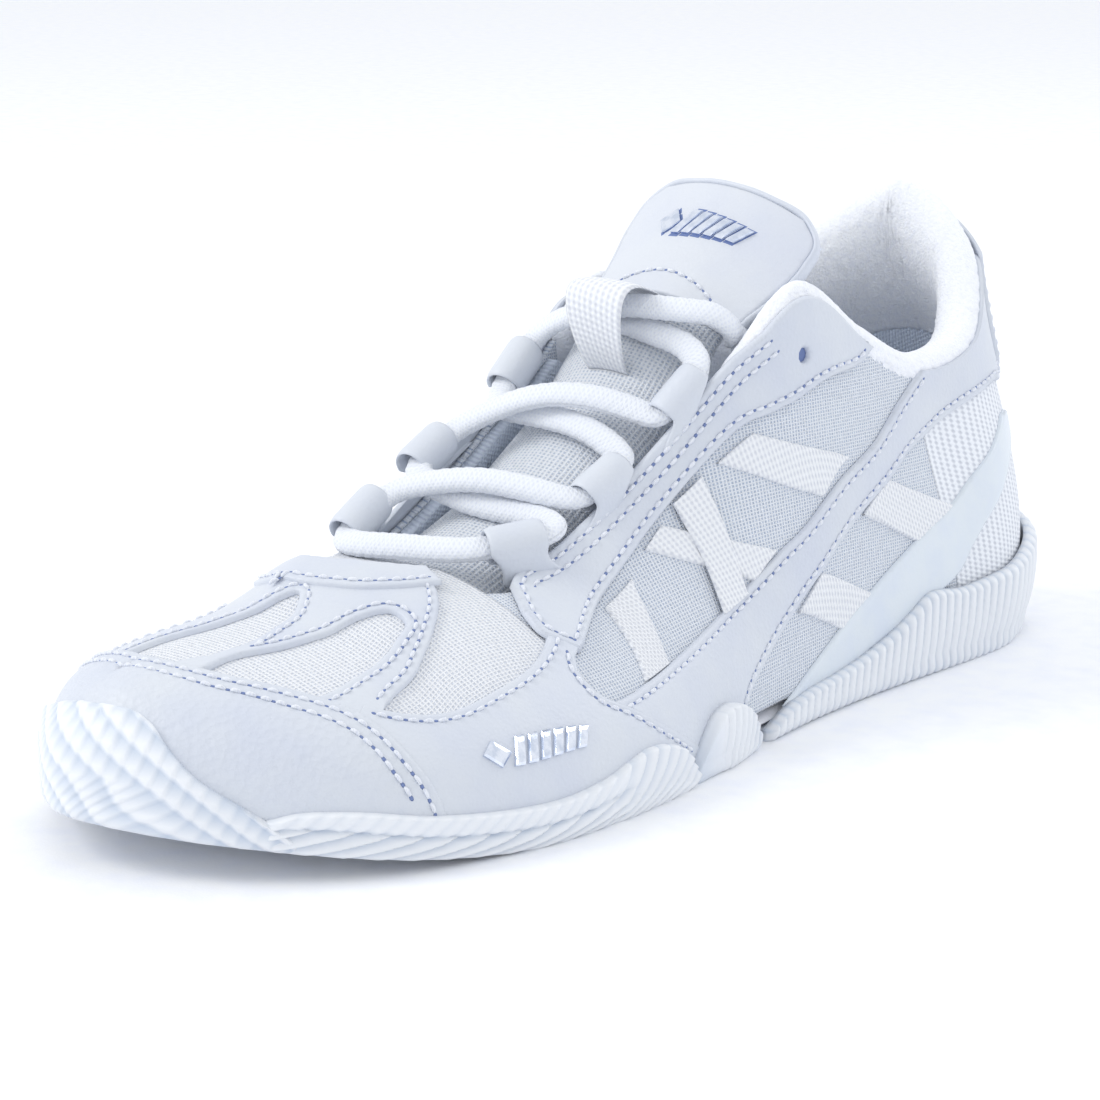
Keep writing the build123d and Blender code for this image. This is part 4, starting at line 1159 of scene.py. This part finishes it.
ROLLED, ENDS = 3.2, 1.4         # mm of foot and of each end over which a wall is rounded
LIP = 0.07                      # share of the height that the rounded top lip takes
UPRIGHT = 0.35                  # share of the height at which the wall stands under its top line
RIB_PITCH = 2.9


def saw(phase, sharpness=0.8):
    """Blade-shaped ridge: a slow rise and a quick fall in each unit of phase."""
    f = phase - np.floor(phase)
    return np.where(f < sharpness, f / sharpness, (1 - f) / (1 - sharpness))


def ribs(phase):
    """Rounded ribs with narrow valleys."""
    return np.abs(np.sin(np.pi * phase)) ** 0.6


def wall(name, top_line, side, relief, columns=44, step=0.42, mirrored_end=False):
    """Sole wall from the ground to its top line; relief(x, z, v) is added to its face in mm.

    x is the distance along the sole edge, z the height above the ground and v the share of it."""
    line = smooth(np.array(top_line, float), np.array([300, 75]), step)
    if mirrored_end:
        line = np.concatenate([line, np.stack([2 - line[-2::-1, 0], line[-2::-1, 1]], -1)])
    along = np.linspace(line[0, 0], line[-1, 0], len(line))
    v = np.linspace(0, 1, columns)[None, :]
    lean = np.clip(v / UPRIGHT, 0, 1)
    s = along[:, None] * (1 - lean) + line[:, :1] * lean
    t = GROUND + (line[:, 1:] - GROUND) * v
    sign = SIGN[side]
    foot = shell(sign * s, 0 * t)
    x = run_of(foot[:, -1])[:, None]
    z = shell(sign * s, t)[..., 2] - tread(foot[..., 1])
    rolled = 1 - np.clip(z / ROLLED, 0, 1)
    lip = np.clip((1 - v) / LIP, 0, 1)
    ends = np.clip(np.minimum(x, x[-1] - x) / ENDS, 0, 1)
    stand = relief(x, z, v + 0 * x)
    height = RUBBER_OUT + stand
    for rest, share in ((0.3, np.clip(1 - rolled ** 2, 0.05, 1)), (0.1, 1 - (1 - lip) ** 2 * 0.9),
                        (0.1, 1 - (1 - ends) ** 2 * 0.95)):
        height = RUBBER_IN + rest + (height - RUBBER_IN - rest) * np.sqrt(share)
    stand = (stand - stand.min()) / (stand.max() - stand.min())
    outer, inner = raised(sign * s, t, height), raised(sign * s, t, RUBBER_IN - 0.6 + 0 * height)
    # How far the surface stands out goes into the UV map, where the rubber paints shade in the valleys
    uv = np.stack(np.broadcast_arrays(x, stand), -1)
    return grid_slab(name, outer, inner, "relief", uv=uv, flipped=side == "medial")


def forefoot_relief(x, z, v):
    """Two tiers of blades: fine short ones above a curved line, long low ones below it."""
    divide = 0.66 - 0.12 * np.sin(x / 26)
    upper = 0.34 * saw((x - z * 1.3) / 3.4, 0.6) + 0.45
    lower = saw((x * 0.85 - z * 2.6) / 6.0, 0.8)
    tall = np.clip((x - x.max() * 0.68) / (x.max() * 0.1), 0, 1)
    peak = saw((x - z * 1.2 + 0.02 * z * z) / 4.0, 0.75)
    mixed = np.where(v > divide, upper, lower)
    seam = np.exp(-((v - divide) / 0.06) ** 2) * (1 - tall)
    return 1.25 * (mixed * (1 - tall) + peak * tall) - 0.85 - 0.5 * seam


def heel_relief(x, z, v):
    """Upright ribs round the heel, on a slightly swollen wall."""
    phase = (x - z * 0.16 + 0.8 * np.sin(v * 3)) / RIB_PITCH
    return 1.3 * ribs(phase) - 0.95 + 0.5 * np.sin(v * np.pi)


def lug_relief(x, z, v):
    """A smooth front face, then ribs that fan up to the peak."""
    fan = (x - z * 0.25) / RIB_PITCH
    ribbed = np.clip((x - 9) / 3, 0, 1)
    return 1.3 * np.sin(np.pi * np.clip(x / x.max(), 0, 1)) + ribbed * (1.3 * ribs(fan) - 0.7) - 0.2


def bumper_relief(x, z, v):
    """Long curved ridges crossed by short scales."""
    sweep = (z + 0.10 * x + 0.0036 * x * x) / 4.6
    scale = (x * 0.95 - z * 0.6) / 3.0
    return 0.5 * saw(-sweep, 0.75) + 0.2 * saw(scale, 0.7) - 0.5


def sole_plate(name, start, end, layer, width_inset, material, rows=90, columns=40):
    """Plate in the sole between two values of s, following toe spring and heel bevel."""
    k = np.linspace(start, end, rows)[:, None]
    w = np.linspace(-1, 1, columns)[None, :]
    medial, lateral = raised(-k, 0.0, -width_inset), raised(k, 0.0, -width_inset)
    plan = medial * (1 - w[..., None]) / 2 + lateral * (1 + w[..., None]) / 2
    edge = (1 - np.abs(w)) * 40
    soft = 0.5 * (layer[1] - layer[0]) * (1 - np.sqrt(1 - (1 - np.clip(edge / 2, 0, 1)) ** 2))
    grids = []
    for z, sign in ((layer[1], -1), (layer[0], 1)):
        grid = plan.copy()
        grid[..., 2] = tread(grid[..., 1]) + z + sign * soft
        grids.append(grid)
    return grid_slab(name, grids[0], grids[1], material, uv=plan[..., :2], flipped=True)


TREAD_PADS = {      # centre x, y and half widths
    "forefoot_tread_pads": [(24, -52, 17, 15), (-22, -57, 14, 11), (-18, -33, 11, 11),
                            (20, -24, 14, 8)],
    "heel_tread_pads": [(3, 30, 22, 11), (3, 58, 24, 12), (2, 86, 25, 12)]}
PAD_HEIGHT = 0.75
GROOVE_DEPTH, GROOVE_PITCH = 0.45, 2.4


def tread_pad(name, x, y, rx, ry):
    """Low oval pad with circular grip rings."""
    r = np.linspace(0.02, 1, 46)[:, None]
    turn = circle(72)[None, :]
    dip = GROOVE_DEPTH * (0.5 - 0.5 * np.cos(r * ry * 2 * np.pi / GROOVE_PITCH)) * (r < 0.9)
    ring = np.stack([x + rx * r * np.cos(turn), y + ry * r * np.sin(turn), dip + 0 * turn], -1)
    lid = ring[::-1] * [1, 1, 0] + [0, 0, PAD_HEIGHT + 0.2]
    return tube(name, np.concatenate([ring, lid]), "rubber", flipped=True)


def make_sole():
    """Rubber walls and plates with their tread pads, then foam, board and sockliner."""
    walls = [wall("wall_lateral", FOREFOOT_TOP, "lateral", forefoot_relief),
             wall("wall_medial", [(s + 0.03, t) for s, t in FOREFOOT_TOP[:3]] + FOREFOOT_TOP[3:],
                  "medial", forefoot_relief),
             sole_plate("plate", 0.03, 0.44, (0.8, 1.9), -1.0, "rubber")]
    attach(joined("forefoot_sole_rubber", walls), "flex", "rubber", "forefoot_outsole")
    bumper = wall("toe_bumper_rubber", BUMPER_TOP, "lateral", bumper_relief, columns=90)
    attach(bumper, "flex", "rubber", "toe_bumper")
    lugs = [wall("lug_" + side, LUG_TOP, side, lug_relief, columns=60) for side in SIDE]
    attach(joined("midfoot_lug_rubber", lugs), "rearfoot", "rubber", "midfoot_lugs")
    heel = [wall("heel_wall", HEEL_TOP, "lateral", heel_relief, mirrored_end=True),
            sole_plate("plate", 0.55, 0.985, (0.8, 1.9), -1.0, "rubber")]
    attach(joined("heel_sole_rubber", heel), "rearfoot", "rubber", "heel_outsole")
    for node, body in (("forefoot_tread_pads", "flex"), ("heel_tread_pads", "rearfoot")):
        pads = [tread_pad("pad", *pad) for pad in TREAD_PADS[node]]
        attach(joined(node.replace("_pads", "_rings"), pads), body, "rubber", node)
    attach(sole_plate("midsole_foam", 0.03, 0.98, (1.9, 4.6), 0.0, "foam"), "flex", "foam", "midsole")
    attach(sole_plate("strobel_board_sheet", 0.04, 0.975, (4.8, 6.2), 4.6, "board"), "flex", "board",
           "strobel_board")
    attach(sole_plate("sockliner_pad", 0.045, 0.97, (6.4, 10), 5.4, "lining"), "flex", "foam",
           "sockliner")


# ---------------------------------------------------------------- tongue
TONGUE_DEPTH = 6.0


def tongue_pad(name, start, end, half_start, half_end, material, middle, puff):
    """Padded length of tongue with rounded sides, puffed up along its middle."""
    rows, around = 90, 72
    share = np.linspace(0, 1, rows)[:, None]
    turn = circle(around)[None, :]
    half = half_start + (half_end - half_start) * share
    c, r = np.cos(turn), np.sin(turn)
    across = middle + half * np.sign(c) * np.abs(c) ** 0.55
    up = np.sign(r) * np.abs(r) ** 0.8
    ends = np.minimum(share, 1 - share) * (end - start) * TONGUE_LENGTH
    soft = np.sqrt(1 - (1 - np.clip(ends / 2.5, 0, 1)) ** 2)
    run = (start + (end - start) * share) * TONGUE_LENGTH + 0 * turn
    height = -TONGUE_DEPTH / 2 + up * TONGUE_DEPTH / 2 * (0.25 + 0.75 * soft)
    height += np.maximum(up, 0) * puff * soft * (1 - (c * 0.9) ** 2)
    points = on_tongue(np.stack([across, run], -1), height)
    return tube(name, points, material, (across, run), flipped=True)


def tongue_run(share):
    return share * TONGUE_LENGTH


def make_tongue():
    """Mesh tongue below the seam; padded top with its leather patch, binding and loop above it."""
    lower = tongue_pad("tongue_padding", 0.0, TONGUE_SEAM - 0.003, 19.5, 19, "tongue_mesh", -0.8, 1.2)
    attach(lower, "flex", "mesh", "tongue_mesh", "tongue_foam", "tongue_lining")
    upper = tongue_pad("tongue_top_padding", TONGUE_SEAM + 0.004, 0.967, 19, 22.5, "lining", 1.0, 0.2)
    attach(upper, "tongue_top", "lining", "tongue_top_foam", "tongue_top_lining")
    low, top = tongue_run(TONGUE_SEAM + 0.003), tongue_run(0.977)
    edges = [Edge([(-17, low), (-8, low + 0.6), (0.5, low + 0.9), (9, low + 0.6), (20.5, low)]),
             Edge([(20.5, low), (22.4, low + 10), (23.4, top - 9), (22.4, top - 3), (18.5, top)]),
             Edge([(18.5, top), (10, top + 0.2), (0.5, top + 0.2), (-9, top + 0.2), (-17.5, top)]),
             Edge([(-17.5, top), (-21.0, top - 3), (-21.5, top - 9), (-19, low + 12), (-17, low)])]
    arch = smooth(np.array([(-15, low + 2.2), (-9, low + 5.2), (-1, low + 7), (8, low + 5.6),
                            (15.5, low + 2.2)]), 1)
    sewn("tongue_patch_leather", TONGUE_CHART, edges, (0.15, 1.35), "tongue_top", "tongue_top_patch",
         "patch", extra=[arch])
    make_binding(low, top)
    make_webbing_loop()


BINDING_LEVEL = -1.6            # height of its middle on the tongue's chart
BINDING_HALF = (1.1, 2.9)       # half width and half height of its section


def make_binding(low, top):
    """Rolled binding along the free edge of the tongue."""
    path = np.array([(20.9, low + 1.2), (22.8, low + 10), (23.7, top - 9), (22.7, top - 2.8),
                     (18.7, top + 0.4), (10, top + 0.9), (0.5, top + 0.9), (-9, top + 0.9),
                     (-17.7, top + 0.4),
                     (-21.3, top - 2.8), (-21.8, top - 9), (-19.3, low + 12), (-17.3, low + 1.2)])
    step = 0.7
    line = smooth(path, 1, step)
    centre = on_tongue(line, np.full(len(line), BINDING_LEVEL))
    up = unit(on_tongue(line, np.full(len(line), 0.0)) - centre)
    side = unit(np.cross(unit(np.gradient(centre, axis=0)), up))
    turn = circle(24)
    ring = (centre[:, None] + side[:, None] * (BINDING_HALF[0] * np.cos(turn))[None, :, None]
            + up[:, None] * (BINDING_HALF[1] * np.sin(turn))[None, :, None])
    binding = tube("tongue_binding_roll", ring, "leather",
                   (np.arange(len(line))[:, None] * step, turn[None] * 2))
    attach(binding, "tongue_top", "leather", "tongue_binding")


LOOP_STAND = 16.0
WEBBING_WIDTH = 10.0


def make_webbing_loop():
    """Flat webbing that stands off the tongue to hold the lace."""
    start, end = 0.6, TONGUE_SEAM - 0.008
    share, w = np.meshgrid(np.linspace(0, 1, 70), np.linspace(-1, 1, 20), indexing="ij")
    run = tongue_run(start + (end - start) * share)
    stand = LOOP_STAND * np.sin(np.pi * share) ** 0.7
    across = 1.0 + WEBBING_WIDTH / 2 * w
    points = np.stack([across, run], -1)
    edge = 0.15 * np.abs(w) ** 6
    outer, inner = on_tongue(points, 2.1 + stand - edge), on_tongue(points, 1.1 + stand + edge)
    uv = np.stack([across, run_of(outer[:, 10])[:, None] + 0 * w], -1)
    loop = grid_slab("tongue_webbing", outer, inner, "webbing", uv=uv, flipped=True)
    attach(loop, "rearfoot", "webbing", "tongue_webbing_loop")


# ---------------------------------------------------------------- badges
def badge_marks(count, length, height, slant):
    """Plain slanted bars after one diamond: corner lists centred on the badge."""
    width = length / (count + 2)
    marks = [[(-length / 2, 0), (-length / 2 + width, -height / 2), (-length / 2 + 2 * width, 0),
              (-length / 2 + width, height / 2)]]
    for k in range(count - 1):
        x = -length / 2 + (k + 2.3) * width
        tall = height * (0.5 - 0.03 * k)
        bar = width * 0.72
        marks.append([(x - slant, -tall), (x - slant + bar, -tall), (x + slant + bar, tall),
                      (x + slant, tall)])
    return marks


def badge(name, chart, centre, turn, length, height, base):
    """Raised polished marks on dark feet that are painted as their shadow."""
    points, faces, materials = [], [], []
    c, s = math.cos(turn), math.sin(turn)

    def lay(corners, level):
        flat = np.array([(x * c - y * s, x * s + y * c) for x, y in corners])
        return chart.place(np.array(centre) + flat / chart.scale, np.full(len(flat), level))

    for corners in badge_marks(7, length, height, height * 0.18):
        corners = np.array(corners)
        middle = corners.mean(0)
        # Size, height and material of each ring, from the dark foot, painted as shadow, to the top
        rings = [(1.22, base - 0.3, 1), (1.22, base + 0.12, 1), (1.0, base + 0.12, 1),
                 (1.0, base + 0.7, 0), (0.82, base + 1.05, 0), (0.5, base + 1.1, 0)]
        start = len(points)
        for size, level, _ in rings:
            points += list(lay(middle + (corners - middle) * size, level))
        for r in range(len(rings) - 1):
            for k in range(4):
                a, b = start + r * 4 + k, start + r * 4 + (k + 1) % 4
                faces.append([a, b, b + 4, a + 4])
                materials.append(rings[r + 1][2] if r < 2 else 0)
        faces += [[start + 3, start + 2, start + 1, start], [start + 20 + k for k in range(4)]]
        materials += [1, 0]
    # The second material paints the shadow round each mark
    made = mesh_object(name, np.array(points), faces, ["badge", "painted_badge_shadow"], materials)
    if chart.mirrored:
        made.data.flip_normals()
    for polygon in made.data.polygons:
        polygon.use_smooth = False
    return made


def make_badges():
    attach(badge("side_badge_bars", SIDE["lateral"], (0.303, 0.255), -0.12, 27, 7.2, 1.25), "flex",
           "badge", "side_badge")
    attach(badge("tongue_badge_bars", TONGUE_CHART, (1.5, tongue_run(0.895)), 0.0, 24, 6.5, 1.2),
           "tongue_top", "badge", "tongue_badge")


# ---------------------------------------------------------------- lace and its loops
LACE_ROUTE = [
    (15, 36, 52), (17, 34, 62), (19.5, 30.5, 71), (21.2, 26, 79), (20, 20, 86), (12, 14.6, 86.8),
    (0, 12.4, 87), (-11, 11.4, 84.2), (-20, 12.5, 80.5), (-24.5, 11.5, 76), (-23.5, 0.5, 67.2),
    (-19, -5, 64.8), (-8, -6.5, 65.2), (5, -7, 64.4), (14, -7, 60.5), (17.3, -9, 58),
    (15.7, -21, 52), (9, -25.5, 54), (-3, -29.5, 55.8), (-14, -33.5, 54.2), (-22, -37.5, 51.5),
    (-23, -49.5, 44.2), (-18, -52.5, 44), (-7, -51.5, 45), (4, -48.5, 45.2), (9.2, -44.5, 45.4),
    (18, -29.5, 47.5), (10.5, -27.5, 49.3), (-3, -29.6, 50), (-14, -30, 52.2), (-22.5, -29.5, 54.4),
    (-23.5, -17, 60.4), (-17, -12.5, 65), (-6, -9, 70), (5, -5, 70.6), (14, -1, 68),
    (19, 1.2, 66), (22, 10.8, 75.2), (17, 13.6, 79.6), (7, 13.6, 81.6), (-3, 15.4, 82.8),
    (-13, 19.5, 85.9), (-20.8, 24, 84), (-22, 28.5, 76), (-20, 32, 67), (-18, 35, 57)]
LACE_WIDTH, LACE_THICKNESS = 5.8, 3.8
LACE_STEP = 0.7
LACE_OVER = (0, -0.62, 0.78)    # the way that the flat of the lace faces
LOOPS = {       # centre of the roll, its axis, and the s of the tab's foot
    "lateral": [((13, -38.5, 46.2), (0.53, 0.84, 0.13), 0.452),
                ((16.5, -15, 55), (0.11, 0.89, 0.46), 0.505),
                ((20.5, 6, 70.5), (0.23, 0.7, 0.68), 0.562)],
    "medial": [((-23, -44, 47.5), (0, 0.87, 0.5), 0.42), ((-23.5, -23, 57.5), (0, 0.9, 0.44), 0.49),
               ((-24, 6, 71.5), (-0.07, 0.8, 0.6), 0.56)]}
LOOP_RADIUS = 3.7
TAB_HALF_WIDTH = 6.0
TAB_FACES = (0.55, -0.45)       # heights of the leather's two faces over its middle
TAB_FOOT = 1.5                  # how far the tab runs on past the eyestay's edge


def lace_line():
    """Points along the lace's smooth line, read from its NURBS route."""
    curve = bpy.data.curves.new("lace_route", "CURVE")
    curve.dimensions = "3D"
    curve.resolution_u = 16
    spline = curve.splines.new("NURBS")
    spline.points.add(len(LACE_ROUTE) - 1)
    for point, place in zip(spline.points, to_frame(LACE_ROUTE)):
        point.co = (*place, 1)
    spline.order_u = 3
    spline.use_endpoint_u = True
    holder = bpy.data.objects.new("lace_route", curve)
    bpy.context.scene.collection.objects.link(holder)
    mesh = bpy.data.meshes.new_from_object(holder)
    line = np.array([v.co for v in mesh.vertices]) * 1000 - SHIFT
    bpy.data.objects.remove(holder)
    return line


def make_lace():
    """One flat-oval braided lace along its tied route."""
    line = lace_line()
    run = run_of(line)
    at = np.arange(0, run[-1], LACE_STEP)
    line = read(at, run, line)
    way = unit(np.gradient(line, axis=0))
    wide = np.cross(way, LACE_OVER)
    for k in range(1, len(wide)):
        if wide[k] @ wide[k - 1] < 0:
            wide[k] = -wide[k]
    kernel = np.hanning(25)
    wide = np.stack([np.convolve(np.pad(wide[:, k], 12, "edge"), kernel / kernel.sum(), "valid")
                     for k in range(3)], -1)
    wide = unit(wide - way * (wide * way).sum(1, keepdims=True))
    thick = np.cross(way, wide)
    turn = circle(32)
    shape = 1 + 0.035 * np.sin(at[:, None] * 2 * np.pi / 2.5 + turn[None] * 4)
    half_wide = np.sign(np.cos(turn)) * np.abs(np.cos(turn)) ** 0.8 * LACE_WIDTH / 2
    half_thick = np.sin(turn) * LACE_THICKNESS / 2
    ring = (line[:, None] + wide[:, None] * (half_wide * shape)[..., None]
            + thick[:, None] * (half_thick * shape)[..., None])
    lace = tube("braided_lace", ring, "lace", (at[:, None], turn[None] * 2.5 * 2 / math.pi))
    attach(lace, "flex", "lace", "lace")


def anchor(side, s):
    """Point of the eyestay's inner edge at s, and the direction out of the shoe there."""
    edge = EYESTAY[2].points
    t = np.interp(s, edge[::-1, 0], edge[::-1, 1]) - 0.03
    return raised(SIGN[side] * s, t, 0.2), outward(SIGN[side] * s, t)


def loop_tab(name, side, centre, axis, at):
    """Leather tab from the eyestay that rolls round the lace and comes back under itself."""
    centre, axis = np.array(centre, float), unit(np.array(axis, float))
    foot, head = anchor(side, at)
    away = foot - centre
    slide = away @ axis
    away -= axis * slide
    reach = np.linalg.norm(away)
    away /= reach
    up = np.cross(axis, away)
    if up @ head < 0:
        up = -up
    angles = np.linspace(math.radians(62), math.radians(325), 40)
    roll = np.stack([np.cos(angles), np.sin(angles)], -1) * LOOP_RADIUS
    tail = np.stack([np.linspace(reach + TAB_FOOT, roll[0, 0], 24)[:-1], np.zeros(23)], -1)
    share = (tail[:, 0] - roll[0, 0]) / (reach + TAB_FOOT - roll[0, 0])
    tail[:, 1] = roll[0, 1] * (1 - share ** 1.2)
    profile = np.concatenate([tail, roll])
    bare = np.concatenate([share, np.zeros(len(roll))])
    turned = np.concatenate([np.zeros(len(tail)), np.linspace(0, 1, len(roll))])
    waist = 1.0 * np.sin(np.pi * np.clip(bare * 1.1, 0, 1))
    half = TAB_HALF_WIDTH + 1.2 * bare ** 2 - waist - 0.8 * turned ** 2
    w = np.linspace(-1, 1, 22)
    way = unit(np.gradient(profile, axis=0))
    out = np.stack([-way[:, 1], way[:, 0]], -1)
    if out[len(tail) + 5] @ roll[5] < 0:
        out = -out
    grids = []
    for lift in TAB_FACES:
        soft = lift * (1 - np.abs(w[None]) ** 8 * 0.75)
        place = profile[:, None] + out[:, None] * soft[..., None]
        grids.append(centre + away * place[..., :1] + up * place[..., 1:]
                     + axis * (half[:, None] * w[None] + slide * bare[:, None] ** 1.5)[..., None])
    made = grid_slab(name, grids[0], grids[1], "leather")
    row = len(tail) + 10
    here = grids[0][row, 10]
    normal = np.cross(grids[0][row + 1, 10] - here, grids[0][row, 11] - here)
    if normal @ (here - centre) < 0:
        made.data.flip_normals()
    return made


def make_loops():
    for side, loops in LOOPS.items():
        tabs = [loop_tab(f"tab_{k}", side, *loop) for k, loop in enumerate(loops)]
        attach(joined("lace_loop_tabs_" + side, tabs), "flex", "webbing", "lace_loops_" + side)


# ---------------------------------------------------------------- CAD pieces that are shown as they are
KEPT = {"arch_shank": "plastic", "heel_counter": "board", "toe_box_stiffener": "board",
        "lace_aglets": "tip"}


def dress_kept():
    """Give the CAD pieces that stay their materials."""
    for node, key in KEPT.items():
        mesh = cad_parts[node].data
        mesh.materials.clear()
        mesh.materials.append(MATERIALS[key])


# ---------------------------------------------------------------- stage
FLOOR_HALF = 20         # metres, like the size of the lights
LIGHT_SIZE = 0.7
KEY_POWER, RIM_POWER = 9, 3


def soft_light(name, place, aim, power, colour):
    data = bpy.data.lights.new(name, "AREA")
    data.size = LIGHT_SIZE
    data.energy = power
    data.color = colour
    light = bpy.data.objects.new(name, data)
    bpy.context.scene.collection.objects.link(light)
    light.location = place
    light.rotation_mode = "QUATERNION"
    light.rotation_quaternion = (Vector(aim) - Vector(place)).to_track_quat("-Z", "Y")


def make_stage():
    """Pale floor, even sky and two soft lights."""
    mesh = bpy.data.meshes.new("floor")
    corners = [(x * FLOOR_HALF, y * FLOOR_HALF, 0) for x, y in ((-1, -1), (1, -1), (1, 1), (-1, 1))]
    mesh.from_pydata(corners, [], [(0, 1, 2, 3)])
    mesh.materials.append(moulded("pale_floor", (0.93, 0.94, 0.96), 0.7))
    floor = bpy.data.objects.new("floor", mesh)
    bpy.context.scene.collection.objects.link(floor)
    world = bpy.data.worlds.new("studio")
    world.use_nodes = True
    sky = world.node_tree.nodes["Background"]
    sky.inputs["Color"].default_value = (0.965, 0.98, 1.0, 1)
    sky.inputs["Strength"].default_value = 1.0
    bpy.context.scene.world = world
    soft_light("key", (-0.9, -0.9, 1.1), (0, -0.02, 0.03), KEY_POWER, (1.0, 0.99, 0.97))
    soft_light("rim", (0.4, 1.1, 0.9), (0, 0.05, 0.05), RIM_POWER, (0.95, 0.97, 1.0))
    bpy.context.scene.view_settings.view_transform = "Standard"


make_front()
for side_name in SIDE:
    make_side(side_name)
make_heel()
make_sole()
make_tongue()
make_badges()
make_lace()
make_loops()
dress_kept()
make_stage()
